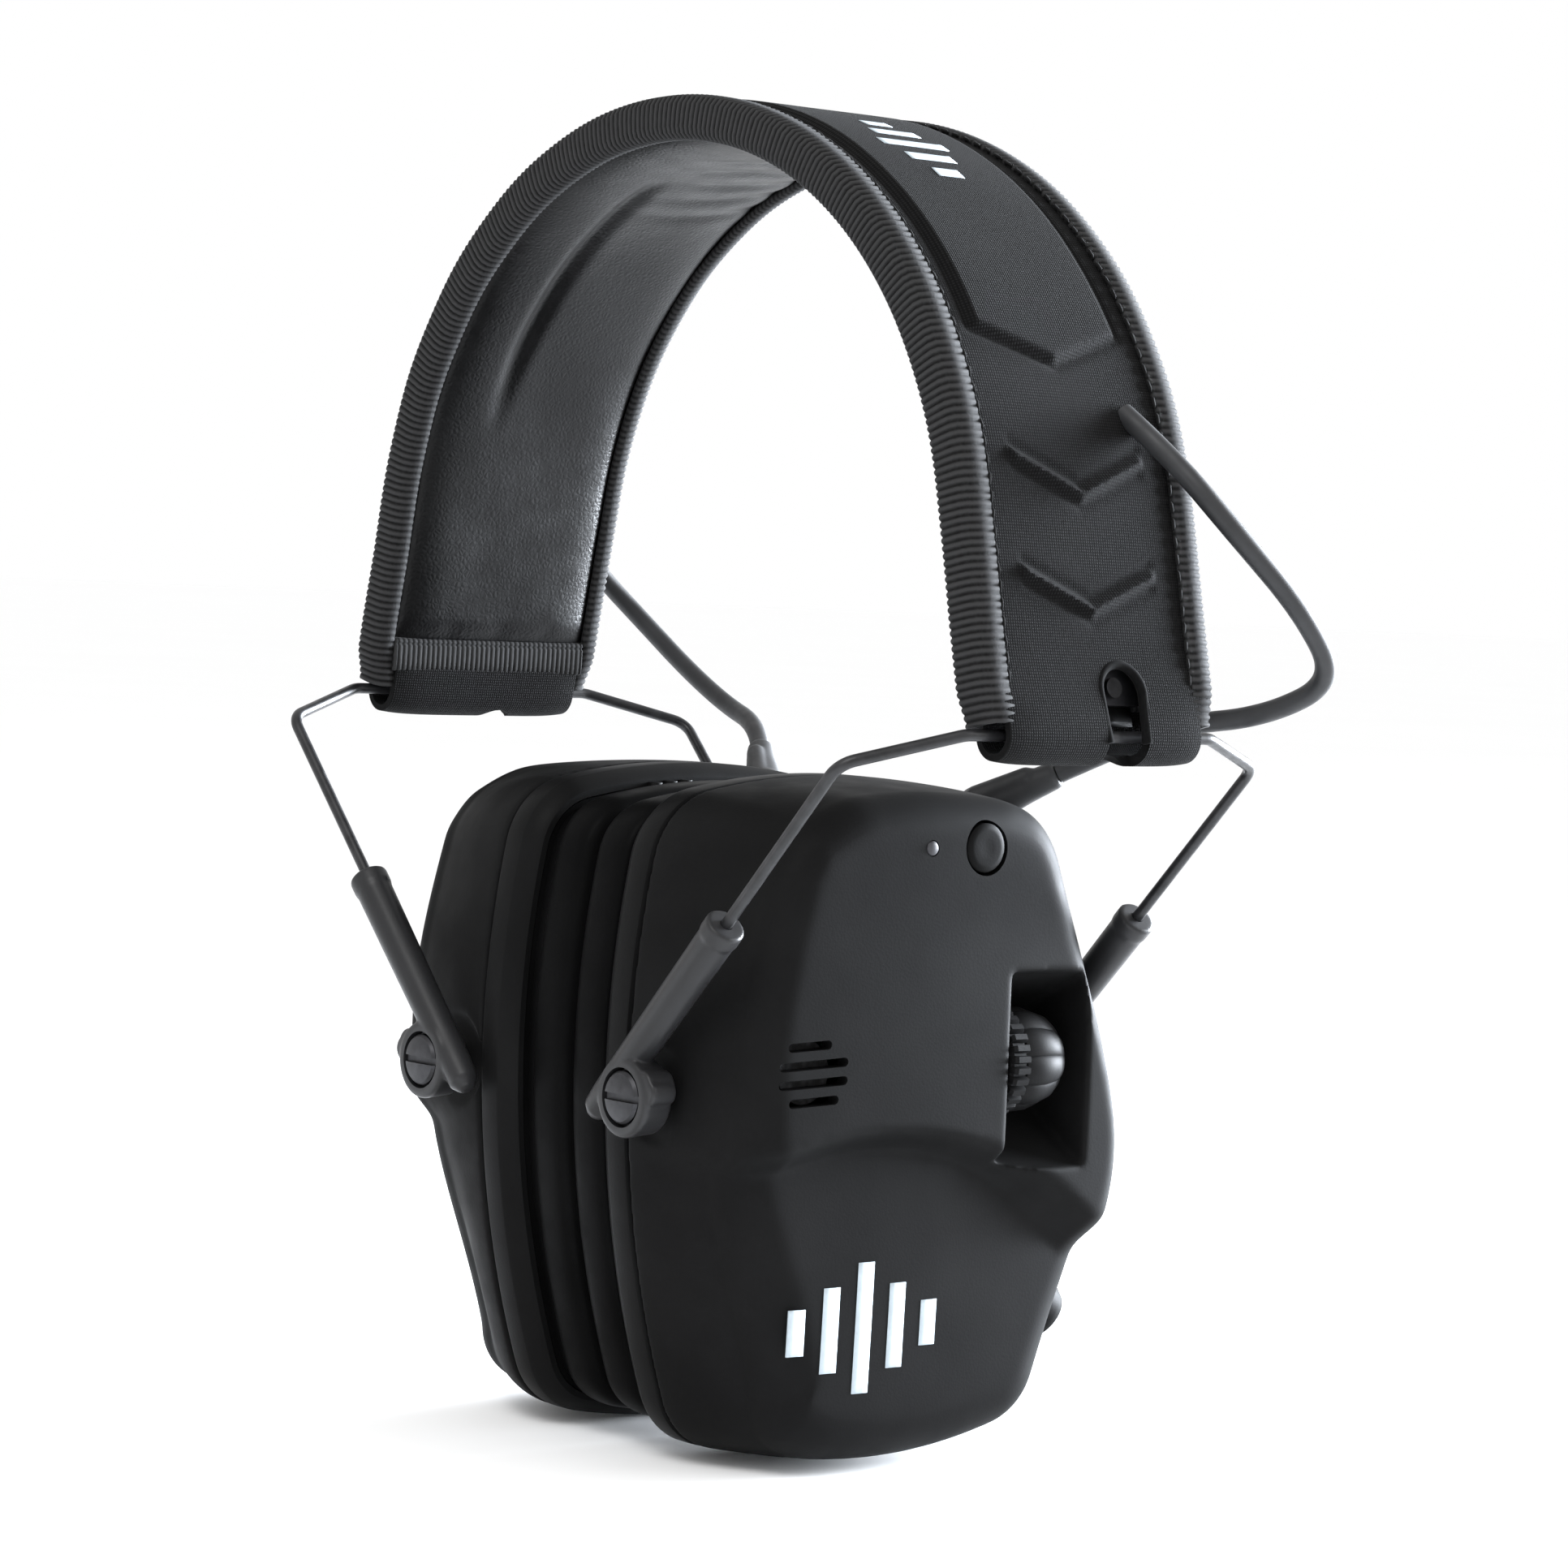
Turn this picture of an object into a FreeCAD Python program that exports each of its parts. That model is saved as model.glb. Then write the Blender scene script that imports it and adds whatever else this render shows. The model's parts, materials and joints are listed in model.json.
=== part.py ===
import FreeCAD, Part
import math
import os
from FreeCAD import Placement, Rotation, Vector

# Electronic earmuff with a fabric headband and two cups carried on wire yokes.
# X runs across the head (left cup at +X), Y runs from front to back, Z is up.
# Heights are given above the cup pivots; every sub-part is then placed so that the origin
# is at the crown, on the inner face of the headband's pad.

SIZES = {
    # headband: an arc over the head with straight, flared ends
    "crown_height": 144.0,       # pivots to the inner face of the pad at the crown
    "band_radius": 72.0,         # of the strap's middle line
    "band_flare": 12.0,          # degrees that the straight ends lean outwards
    "band_straight": 35.1,       # from the end of the arc down to the wire bar
    "band_width": 46.0,
    "pad_thickness": 4.0,        # below the middle line
    "spring_thickness": 1.0,
    "spring_width": 19.0,
    "cover_thickness": 1.8,
    "layer_gap": 0.1,
    "binding_width": 1.4,
    "binding_depth": 3.0,        # each side of the middle line
    "pad_stop": 6.1,             # from the pad's lower end to the wire bar
    "cover_stop": 4.5,           # from the cover's lower end to the wire bar
    "end_strip_height": 1.4,
    "lead_width": 2.0,
    "lead_middle": 12.0,         # Y of the signal lead inside the band
    # end sleeves that carry the wire bars
    "sleeve_radius": 4.2,
    "sleeve_length": 36.0,
    "slot_width": 7.0,
    "slot_middle": 4.0,
    "slot_height": 5.0,          # that the keyhole reaches up into the cover
    "cable_hole": 20.0,          # length of the slanting cut for a cable in the cover
    "rivet_radius": 1.5,
    "rivet_head": 0.8,
    # wire yokes
    "wire_radius": 0.9,
    "wire_clearance": 0.05,
    "bar_half": 24.0,            # straight half length of the bar inside the band end
    "wire_bend": 4.0,
    "leg_inset": 7.5,            # from the bar inwards to the leg's top
    "leg_drop": 4.7,             # from the bar down to the leg's top
    "leg_spacing": 41.0,         # Y of each leg
    "leg_lean": 44.0,            # degrees from vertical
    "leg_length": 54.0,
    # arms that slide on the legs and carry the cup pivots
    "arm_start": 34.2,           # along the leg, from its top
    "arm_length": 43.0,
    "arm_radius": 3.0,
    "arm_end_radius": 2.6,
    "arm_bore_depth": 37.0,
    "boss_radius": 6.0,
    "boss_half": 2.6,            # half the boss's length along the pivot
    "pivot_x": 26.2,
    "screw_radius": 2.0,
    "screw_head_radius": 4.0,
    "screw_head": 1.0,
    "screw_reach": 6.0,          # from the shell's side into its boss
    "screw_boss": 2.5,           # wall round the screw's shank inside the shell
    "screw_slot": 1.0,
    "screw_slot_depth": 0.5,
    # cup outline, as four large arcs with rounded corners
    "cup_half_width": 37.2,
    "front_widest": 4.0,         # height of the front side's widest place above the pivots
    "back_widest": -9.0,
    "cup_top": 47.8,
    "cup_bottom": 57.5,
    "side_arc": 156.0,
    "top_arc": 118.0,
    "bottom_arc": 100.0,
    "top_corner": 13.0,
    "bottom_corner": 12.0,
    # cup layers, from the ear outwards
    "seal_gap": 0.6,             # between the two cushions at rest
    "cushion_depth": 9.1,
    "cushion_inset": 3.0,
    "cushion_round": 3.2,
    "ear_half_width": 17.0,
    "ear_half_height": 27.0,
    "plate_depth": 3.9,
    "plate_inset": 1.2,
    "rim_depth": 5.8,
    "rim_wall": 3.0,
    "rim_chamfer": 1.0,
    "foam_depth": 2.8,
    "baffle_depth": 2.0,
    "fit_gap": 0.2,
    "shell_depth": 22.8,         # to the lower face
    "face_step": 5.0,            # how far the upper face stands out
    "shell_wall": 2.4,
    "lower_round": 7.0,
    "upper_round": 6.0,
    "step_crest": 5.0,           # below the pivots
    "step_arc": 62.0,
    "step_shift": 8.0,           # the arc's middle lies this far to the front
    "step_inset": 0.4,           # of the upper face's outline from the lower one's
    # volume knob and its recess
    "knob_y": 15.6,
    "knob_z": 5.0,
    "knob_radius": 8.6,
    "wheel_length": 3.2,
    "dome_length": 11.6,
    "dome_step": 0.8,            # from the wheel's radius down to the dome's
    "dome_taper": 1.4,
    "dome_round": 2.5,
    "knob_shaft": 3.0,
    "knob_sink": 7.5,            # from the upper face down to the knob's axis
    "recess_length": 16.5,
    "recess_half": 15.5,
    "recess_depth": 3.2,
    "recess_wall": 1.5,
    "recess_gap": 0.6,           # between the recess's front wall and the wheel
    "knob_gap": 0.8,             # round the knob
    "control_radius": 4.8,
    "control_length": 9.0,
    # face details
    "button_y": 8.5,
    "detail_z": 38.3,
    "button_radius": 4.0,
    "button_length": 5.4,
    "button_stand": 0.9,
    "button_gap": 0.3,
    "led_y": -2.4,
    "led_radius": 1.0,
    "microphone_y": -23.7,
    "microphone_radius": 4.8,
    "microphone_depth": 3.0,
    "grille_pitch": 2.7,
    "grille_height": 1.3,
    "grille_length": 11.0,
    # inside the cups
    "speaker_radius": 16.0,
    "speaker_depth": 3.2,
    "magnet_radius": 9.0,
    "magnet_depth": 3.0,
    "board_width": 46.0,
    "board_height": 36.0,
    "board_thickness": 1.6,
    "post_radius": 2.2,
    "post_margin": 1.0,          # from a post to the board's edges
    "battery_width": 26.0,
    "battery_height": 46.0,
    "battery_round": 3.0,
    # lower back socket for an audio plug
    "socket_radius": 1.8,
    "socket_length": 14.0,
    "socket_boss": 5.4,
    "socket_floor": 3.0,
    # cable and its relief boots
    "cable_radius": 1.6,
    "boot_radius": 4.2,
    "boot_tip": 2.3,
    "boot_length": 14.0,
}

doc = FreeCAD.newDocument("earmuff")
sheet = doc.addObject("Spreadsheet::Sheet", "Sizes")
for row, (alias, number) in enumerate(SIZES.items(), start=1):
    sheet.set(f"A{row}", alias)
    sheet.set(f"B{row}", str(number))
    sheet.setAlias(f"B{row}", alias)
doc.recompute()

nodes = {}


def size(alias):
    return float(sheet.get(alias))


def bind(item, **properties):
    """Ties properties of a document object to formulas of the sheet's cells."""
    for name, formula in properties.items():
        words = [f"Sizes.{word}" if word in SIZES else word for word in formula.split()]
        item.setExpression(name.replace("__", "."), " ".join(words))


def add_node(node, item):
    """Labels a finished sub-part and drops it so that the crown is the origin."""
    item.Label = node
    item.setExpression("Placement.Base.z", "-Sizes.crown_height")
    nodes[node] = item


def add_shape(node, shape):
    item = doc.addObject("Part::Feature", node)
    item.Shape = shape.removeSplitter()
    item.Placement = Placement()
    add_node(node, item)


def on_side(shape, side):
    """The left-hand shape as it is, or its mirror image on the right."""
    return shape if side > 0 else shape.mirror(Vector(0, 0, 0), Vector(1, 0, 0))


# ---------------------------------------------------------------- places worked out from the sizes

FLARE = math.radians(size("band_flare"))
LEAN = math.radians(size("leg_lean"))
BAND_TOP = size("crown_height") + size("pad_thickness")
BAND_CENTRE = BAND_TOP - size("band_radius")

# layers across the strap, measured outwards from its middle line
SPRING_IN = size("layer_gap")
SPRING_OUT = SPRING_IN + size("spring_thickness")
COVER_IN = SPRING_OUT + size("layer_gap")
COVER_OUT = COVER_IN + size("cover_thickness")


def band_point(offset, station):
    """X and Z on the left straight end, at an offset from the middle line."""
    radius = size("band_radius") + offset
    return Vector(
        radius * math.cos(FLARE) + station * math.sin(FLARE),
        BAND_CENTRE + radius * math.sin(FLARE) - station * math.cos(FLARE),
        0,
    )


BAR_X, BAR_Z, _ = band_point(0, size("band_straight"))
LEG_TOP = Vector(BAR_X - size("leg_inset"), size("leg_spacing"), BAR_Z - size("leg_drop"))
LEG_DOWN = Vector(-math.sin(LEAN), 0, -math.cos(LEAN))

# X of each layer of the left cup
CUSHION_X = size("seal_gap") / 2
PLATE_X = CUSHION_X + size("cushion_depth") + size("layer_gap")
RIM_X = PLATE_X + size("plate_depth")
SHELL_X = RIM_X + size("rim_depth")
LOWER_X = SHELL_X + size("shell_depth")
UPPER_X = LOWER_X + size("face_step")
BAFFLE_X = SHELL_X - size("fit_gap") - size("baffle_depth")
FOAM_X = BAFFLE_X - size("layer_gap") - size("foam_depth")
SPEAKER_X = SHELL_X
BOARD_X = SPEAKER_X + size("speaker_depth") + size("magnet_depth") + size("fit_gap")
INNER_X = LOWER_X - size("shell_wall")
KNOB_X = UPPER_X - size("knob_sink")
RECESS_Y = size("knob_y") - size("recess_gap")
CONTROL_Y = RECESS_Y - size("recess_wall") - size("recess_gap") / 2 - size("control_length")

# places and directions chosen by hand
BOOT_START = Vector(27.0, 24.5, 43.0)
BOOT_WAY = Vector(0.74, 0.50, 0.45).normalize()
SOCKET_MOUTH = Vector(29.0, 40.0, -38.2)
SOCKET_WAY = Vector(0, 0.77, -0.64).normalize()


# ---------------------------------------------------------------- outlines

def circle_arc(centre, radius, start, stop):
    circle = Part.Circle(Vector(centre[0], centre[1], 0), Vector(0, 0, 1), radius)
    return Part.ArcOfCircle(circle, start, stop)


def corner_centre(first, first_radius, second, second_radius):
    """Where two circles cross, on the side away from the cup's middle line."""
    gap = second - first
    distance = gap.Length
    along = (first_radius**2 - second_radius**2 + distance**2) / (2 * distance)
    across = math.sqrt(first_radius**2 - along**2)
    unit = gap / distance
    crossings = [
        first + unit * along + Vector(-unit.y, unit.x, 0) * across * sign for sign in (1, -1)
    ]
    return max(crossings, key=lambda point: point.x)


def angle_from(centre, point):
    return math.atan2(point.y - centre.y, point.x - centre.x)


def half_outline(widest):
    """Centre, radius and angles of the arcs from the bottom to the top of one side."""
    side = Vector(size("cup_half_width") - size("side_arc"), widest, 0)
    top = Vector(0, size("cup_top") - size("top_arc"), 0)
    bottom = Vector(0, size("bottom_arc") - size("cup_bottom"), 0)
    upper, lower = size("top_corner"), size("bottom_corner")
    high = corner_centre(side, size("side_arc") - upper, top, size("top_arc") - upper)
    low = corner_centre(side, size("side_arc") - lower, bottom, size("bottom_arc") - lower)
    bottom_turn, side_low = angle_from(bottom, low), angle_from(side, low)
    side_high, top_turn = angle_from(side, high), angle_from(top, high)
    quarter = math.pi / 2
    return [
        (bottom, size("bottom_arc"), -quarter, bottom_turn),
        (low, lower, bottom_turn, side_low),
        (side, size("side_arc"), side_low, side_high),
        (high, upper, side_high, top_turn),
        (top, size("top_arc"), top_turn, quarter),
    ]


def cup_outline(inset):
    """Closed run of tangent arcs in the cup's own Y and Z, inset from the outer wall."""
    back = [circle_arc(centre, radius - inset, start, stop)
            for centre, radius, start, stop in half_outline(size("back_widest"))]
    front = [circle_arc((-centre.x, centre.y), radius - inset, math.pi - stop, math.pi - start)
             for centre, radius, start, stop in half_outline(size("front_widest"))]
    return back + front


def ear_opening():
    major, minor = size("ear_half_height"), size("ear_half_width")
    return [Part.Ellipse(Vector(0, major, 0), Vector(minor, 0, 0), Vector(0, 0, 0))]


def strap_outline(inner, outer, stop):
    """Closed outline across the strap between two offsets, ending above each wire bar."""
    station = size("band_straight") - stop
    run = []
    corners = []
    for offset, turn in ((outer, 1), (inner, -1)):
        radius = size("band_radius") + offset
        run.append(circle_arc(Vector(0, BAND_CENTRE, 0), radius, FLARE, math.pi - FLARE))
        start, end = band_point(offset, 0), band_point(offset, station)
        for sign in (1, -1):
            run.append(Part.LineSegment(Vector(sign * start.x, start.y, 0),
                                        Vector(sign * end.x, end.y, 0)))
        corners.append(end)
    for sign in (1, -1):
        ends = [Vector(sign * corner.x, corner.y, 0) for corner in corners]
        run.append(Part.LineSegment(*ends))
    return run


# ---------------------------------------------------------------- PartDesign helpers

def plane(body, role):
    return next(item for item in body.Origin.OriginFeatures if item.Role == role)


def sketch_on(body, role, offset, geometry):
    sketch = body.newObject("Sketcher::SketchObject", f"{body.Name}_outline")
    sketch.AttachmentSupport = (plane(body, role), "")
    sketch.MapMode = "FlatFace"
    sketch.AttachmentOffset = Placement(Vector(0, 0, offset), Rotation())
    sketch.addGeometry(geometry, False)
    return sketch


def padded_body(node, role, offset, geometry, length, reverse=False, middle=False):
    body = doc.addObject("PartDesign::Body", node)
    sketch = sketch_on(body, role, offset, geometry)
    pad = body.newObject("PartDesign::Pad", f"{node}_pad")
    pad.Profile = sketch
    bind(pad, Length=length)
    pad.Reversed = reverse
    if middle:
        pad.Midplane = True
    doc.recompute()
    return body, pad


def rounded(body, base, kind, amount, keep):
    """Adds a fillet or chamfer to the edges that keep() picks."""
    names = [f"Edge{i}" for i, edge in enumerate(base.Shape.Edges, start=1) if keep(edge)]
    feature = body.newObject(f"PartDesign::{kind}", f"{body.Name}_{kind.lower()}")
    feature.Base = (base, names)
    bind(feature, **{"Radius" if kind == "Fillet" else "Size": amount})
    doc.recompute()
    return feature


def lies_at(x):
    """True for edges in the plane across X at x."""
    def test(edge):
        box = edge.BoundBox
        return abs(box.XMin - x) < 1e-4 and abs(box.XMax - x) < 1e-4
    return test


# ---------------------------------------------------------------- Part helpers

def prism(curves, start, stop):
    """Solid between two X places, from curves drawn in Y and Z."""
    wire = Part.Wire(Part.__sortEdges__([curve.toShape() for curve in curves]))
    turn = Placement(Vector(start, 0, 0), Rotation(Vector(0, 1, 0), Vector(0, 0, 1), Vector(1, 0, 0)))
    face = Part.Face(wire)
    face.Placement = turn
    return face.extrude(Vector(stop - start, 0, 0))


def box_between(low, high):
    return Part.makeBox(high[0] - low[0], high[1] - low[1], high[2] - low[2], Vector(*low))


def rod(start, direction, radius, length):
    return Part.makeCylinder(radius, length, Vector(*start), Vector(*direction))


def rounded_path(points, radius=None):
    """Straight runs joined by tangent arcs; without a radius each arc is as large as fits."""
    share = 0.45
    edges, radii = [], []
    here = points[0]
    for before, corner, after in zip(points, points[1:], points[2:]):
        back, ahead = before - corner, after - corner
        half_turn = (math.pi - back.getAngle(ahead)) / 2
        reach = share * min(back.Length, ahead.Length)
        bend = radius or reach / math.tan(half_turn)
        reach = bend * math.tan(half_turn)
        start = corner + back.normalize() * reach
        end = corner + ahead.normalize() * reach
        middle = back + ahead
        crown = corner + middle.normalize() * (bend / math.cos(half_turn) - bend)
        edges.append(Part.LineSegment(here, start).toShape())
        edges.append(Part.Arc(start, crown, end).toShape())
        radii.append(bend)
        here = end
    edges.append(Part.LineSegment(here, points[-1]).toShape())
    return Part.Wire(edges), radii


def tube(points, radius, bend=None):
    path, radii = rounded_path(points, bend)
    direction = points[1] - points[0]
    ring = Part.Wire(Part.makeCircle(radius, points[0], direction))
    solid = path.makePipeShell([ring], True, True)
    expected = math.pi * radius**2 * path.Length
    if abs(solid.Volume - expected) > 0.01 * expected:
        raise ValueError("a swept tube has the wrong volume")
    return solid, radii, path.Length


# ---------------------------------------------------------------- headband

def make_strap_layer(node, inner, outer, width, stop):
    body, _ = padded_body(node, "XZ_Plane", 0, strap_outline(inner, outer, stop), width, middle=True)
    add_node(node, body)


def make_edge_layer(node, inner, outer, start, width, stop):
    """A strap layer that begins at Y = start and runs towards +Y."""
    outline = strap_outline(inner, outer, stop)
    body, _ = padded_body(node, "XZ_Plane", -start, outline, width, reverse=True)
    add_node(node, body)


def cable_points(side):
    """Hand-laid route of a cable, from the band's cover to the tip of its boot."""
    tip = BOOT_START + BOOT_WAY * size("boot_length")
    end = [tip + BOOT_WAY * 8.0, tip]
    if side > 0:
        return [
            Vector(68.9, 12.0, 104.2),
            Vector(78.5, 13.5, 97.5),
            Vector(86.0, 19.5, 87.0),
            Vector(89.5, 30.5, 76.0),
            Vector(87.0, 41.0, 66.0),
            Vector(74.0, 39.5, 60.0),
            Vector(60.0, 34.5, 58.0),
        ] + end
    route = [
        Vector(-68.9, 12.0, 104.2),
        Vector(-78.0, 15.5, 95.5),
        Vector(-84.0, 22.0, 86.5),
        Vector(-84.0, 31.0, 77.5),
        Vector(-78.5, 37.0, 69.5),
        Vector(-68.5, 39.5, 61.5),
        Vector(-56.5, 39.0, 55.8),
    ]
    return route + [Vector(-point.x, point.y, point.z) for point in end]


def make_band():
    width = "band_width - 2 * binding_width - 2 * layer_gap"
    pad_inner = -size("pad_thickness")
    make_strap_layer("band_pad", pad_inner, 0, width, size("pad_stop"))
    make_strap_layer("band_spring", SPRING_IN, SPRING_OUT, "spring_width", size("cover_stop"))
    lead_start = size("lead_middle") - size("lead_width") / 2
    make_edge_layer("signal_lead", SPRING_IN, SPRING_OUT, lead_start, "lead_width",
                    size("cover_stop"))

    depth = size("binding_depth")
    edge = size("band_width") / 2
    strip = size("binding_width")
    make_edge_layer("binding_front", -depth, depth, -edge, "binding_width", size("cover_stop"))
    make_edge_layer("binding_back", -depth, depth, edge - strip, "binding_width", size("cover_stop"))

    body, _ = padded_body("band_cover", "XZ_Plane", 0,
                          strap_outline(COVER_IN, COVER_OUT, size("cover_stop")), width, middle=True)
    cover = doc.addObject("Part::Cut", "band_cover_with_holes")
    holes = []
    for side in (1, -1):
        start, after = cable_points(side)[:2]
        way = (after - start).normalize()
        hole = doc.addObject("Part::Cylinder", "cable_hole")
        bind(hole, Radius="cable_radius + layer_gap", Height="cable_hole")
        hole.Placement = Placement(start - way * (2 * size("cable_radius")),
                                   Rotation(Vector(0, 0, 1), way))
        holes.append(hole)
        keyhole = doc.addObject("Part::Box", "keyhole")
        bind(keyhole, Length="cover_thickness + 2", Width="slot_width", Height="slot_height + 1")
        offset = COVER_IN - 1 if side > 0 else COVER_OUT + 1
        foot = band_point(offset, size("band_straight") - size("cover_stop") + 1)
        low_y = size("slot_middle") - size("slot_width") / 2
        keyhole.Placement = Placement(Vector(side * foot.x, low_y, foot.y),
                                      Rotation(Vector(0, 1, 0), -side * size("band_flare")))
        holes.append(keyhole)
    together = doc.addObject("Part::MultiFuse", "cover_holes")
    together.Shapes = holes
    cover.Base, cover.Tool = body, together
    doc.recompute()
    add_node("band_cover", cover)


def make_band_end(name, side):
    """The sleeve round the wire bar, the pad's end strip and the rivet of one band end."""
    half = size("sleeve_length") / 2
    sleeve = rod((BAR_X, -half, BAR_Z), (0, 1, 0), size("sleeve_radius"), 2 * half)
    bore = size("wire_radius") + size("wire_clearance")
    sleeve = sleeve.cut(rod((BAR_X, -half, BAR_Z), (0, 1, 0), bore, 2 * half))
    slot_low = size("slot_middle") - size("slot_width") / 2
    reach = size("sleeve_radius")
    slot = box_between((BAR_X + bore, slot_low, BAR_Z - reach / 2),
                       (BAR_X + 2 * reach, slot_low + size("slot_width"), BAR_Z + 2 * reach))
    add_shape(f"end_sleeve_{name}", on_side(sleeve.cut(slot), side))

    strip_half = size("band_width") / 2 - size("binding_width") - size("layer_gap")
    top = size("band_straight") - size("pad_stop") + size("layer_gap")
    corners = [band_point(-size("binding_depth"), top), band_point(-size("layer_gap"), top),
               band_point(-size("layer_gap"), top + size("end_strip_height")),
               band_point(-size("binding_depth"), top + size("end_strip_height"))]
    loop = [Vector(corner.x, -strip_half, corner.y) for corner in corners]
    strip = Part.Face(Part.makePolygon(loop + loop[:1])).extrude(Vector(0, 2 * strip_half, 0))
    add_shape(f"end_strip_{name}", on_side(strip, side))


def make_rivets():
    """Two rivet heads, one on each end of the leaf spring, inside the cover's keyhole."""
    rivets = []
    station = size("band_straight") - size("cover_stop") - size("slot_height") / 2
    foot = band_point(SPRING_OUT, station)
    head = band_point(SPRING_OUT + size("rivet_head"), station)
    for side in (1, -1):
        base = Vector(side * foot.x, size("slot_middle"), foot.y)
        tip = Vector(side * head.x, size("slot_middle"), head.y)
        rivets.append(Part.makeCylinder(size("rivet_radius"), size("rivet_head"), base, tip - base))
    add_shape("band_rivets", Part.makeCompound(rivets))


# ---------------------------------------------------------------- yokes

def make_wire(name, side):
    """Bar, two slanted shoulders and two legs of one bent steel wire."""
    foot = LEG_TOP + LEG_DOWN * size("leg_length")
    half = [Vector(BAR_X, size("bar_half"), BAR_Z), LEG_TOP, foot]
    route = [Vector(point.x, -point.y, point.z) for point in reversed(half)] + half
    solid, _, _ = tube(route, size("wire_radius"), size("wire_bend"))
    add_shape(f"{name}_wire", on_side(solid, side))


def make_arm(node, side, facing):
    """One tubular arm with the pivot boss; facing is -1 at the front and 1 at the back."""
    start = LEG_TOP + LEG_DOWN * size("arm_start")
    length = size("arm_length") - size("arm_end_radius")
    end = start + LEG_DOWN * length
    arm = Part.makeCone(size("arm_radius"), size("arm_end_radius"), length, start, LEG_DOWN)
    arm = arm.fuse(Part.makeSphere(size("arm_end_radius"), end))
    lane = size("leg_spacing")
    half = size("boss_half")
    pivot = Vector(size("pivot_x"), lane - half, 0)
    boss = rod(pivot, (0, 1, 0), size("boss_radius"), 2 * half)
    arm = arm.fuse(boss)
    bore = size("wire_radius") + size("wire_clearance")
    arm = arm.cut(Part.makeCylinder(bore, size("arm_bore_depth"), start, LEG_DOWN))
    hole = size("screw_radius") + size("wire_clearance")
    arm = arm.cut(rod(pivot, (0, 1, 0), hole, 2 * half))
    if facing < 0:
        arm = arm.mirror(Vector(0, 0, 0), Vector(0, 1, 0))
    add_shape(node, on_side(arm, side))


# ---------------------------------------------------------------- cups

def make_layers(name, side):
    """Cushion, its plate and the rim ring, each padded from the cup's outline."""
    reverse = side < 0
    outline = cup_outline(size("cushion_inset")) + ear_opening()
    body, pad = padded_body(f"{name}_cushion", "YZ_Plane", side * CUSHION_X, outline,
                            "cushion_depth", reverse)
    rounded(body, pad, "Fillet", "cushion_round", lies_at(side * CUSHION_X))
    add_node(f"{name}_cushion", body)

    outline = cup_outline(size("plate_inset")) + ear_opening()
    body, _ = padded_body(f"{name}_cushion_plate", "YZ_Plane", side * PLATE_X, outline,
                          "plate_depth - layer_gap", reverse)
    add_node(f"{name}_cushion_plate", body)

    outline = cup_outline(0) + cup_outline(size("rim_wall"))
    body, pad = padded_body(f"{name}_rim", "YZ_Plane", side * RIM_X, outline,
                            "rim_depth - layer_gap", reverse)

    def outer_edge(edge):
        point = edge.valueAt((edge.FirstParameter + edge.LastParameter) / 2)
        inner = Part.Face(Part.Wire([curve.toShape() for curve in cup_outline(size("rim_wall") / 2)]))
        outside = not inner.isInside(Vector(point.y, point.z, 0), 1e-6, True)
        return outside and lies_at(side * RIM_X)(edge)

    rounded(body, pad, "Chamfer", "rim_chamfer", outer_edge)
    add_node(f"{name}_rim", body)


def make_inner_parts(name, side):
    """Foam, baffle with its board posts, speaker and circuit board."""
    inset = size("rim_wall") + size("fit_gap")
    body, _ = padded_body(f"{name}_foam", "YZ_Plane", side * FOAM_X, cup_outline(inset),
                          "foam_depth", side < 0)
    add_node(f"{name}_foam", body)

    hole = Part.Circle(Vector(0, 0, 0), Vector(0, 0, 1), size("magnet_radius"))
    baffle = prism(cup_outline(inset), BAFFLE_X, BAFFLE_X + size("baffle_depth"))
    baffle = baffle.cut(prism([hole], BAFFLE_X, SHELL_X))
    margin = size("post_radius") + size("post_margin")
    post_y = size("board_width") / 2 - margin
    post_z = size("board_height") / 2 - margin
    reach = BOARD_X - size("fit_gap") / 2 - BAFFLE_X
    for y in (post_y, -post_y):
        for z in (post_z, -post_z):
            baffle = baffle.fuse(rod((BAFFLE_X, y, z), (1, 0, 0), size("post_radius"), reach))
    add_shape(f"{name}_baffle", on_side(baffle, side))

    speaker = rod((SPEAKER_X, 0, 0), (1, 0, 0), size("speaker_radius"), size("speaker_depth"))
    magnet = rod((SPEAKER_X + size("speaker_depth"), 0, 0), (1, 0, 0), size("magnet_radius"),
                 size("magnet_depth"))
    add_shape(f"{name}_speaker", on_side(speaker.fuse(magnet), side))

    board = doc.addObject("Part::Box", f"{name}_circuit_board_box")
    bind(board, Length="board_thickness", Width="board_width", Height="board_height")
    low_x = BOARD_X if side > 0 else -BOARD_X - size("board_thickness")
    board.Placement.Base = Vector(low_x, -size("board_width") / 2, -size("board_height") / 2)
    board.setExpression("Placement.Base.z", "-Sizes.crown_height - Sizes.board_height / 2")
    board.Label = f"{name}_circuit_board"
    nodes[board.Label] = board


def step_blank(start, stop):
    """Everything above the arched step, between two X places."""
    radius = size("step_arc")
    centre = Vector(-size("step_shift"), -size("step_crest") - size("step_arc"), 0)
    wide = 3 * size("cup_half_width")
    blank = box_between((start, -wide, centre.y), (stop, wide, 2 * size("cup_top")))
    below = rod((start, centre.x, centre.y), (1, 0, 0), radius, stop - start)
    return blank.cut(below)


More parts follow.
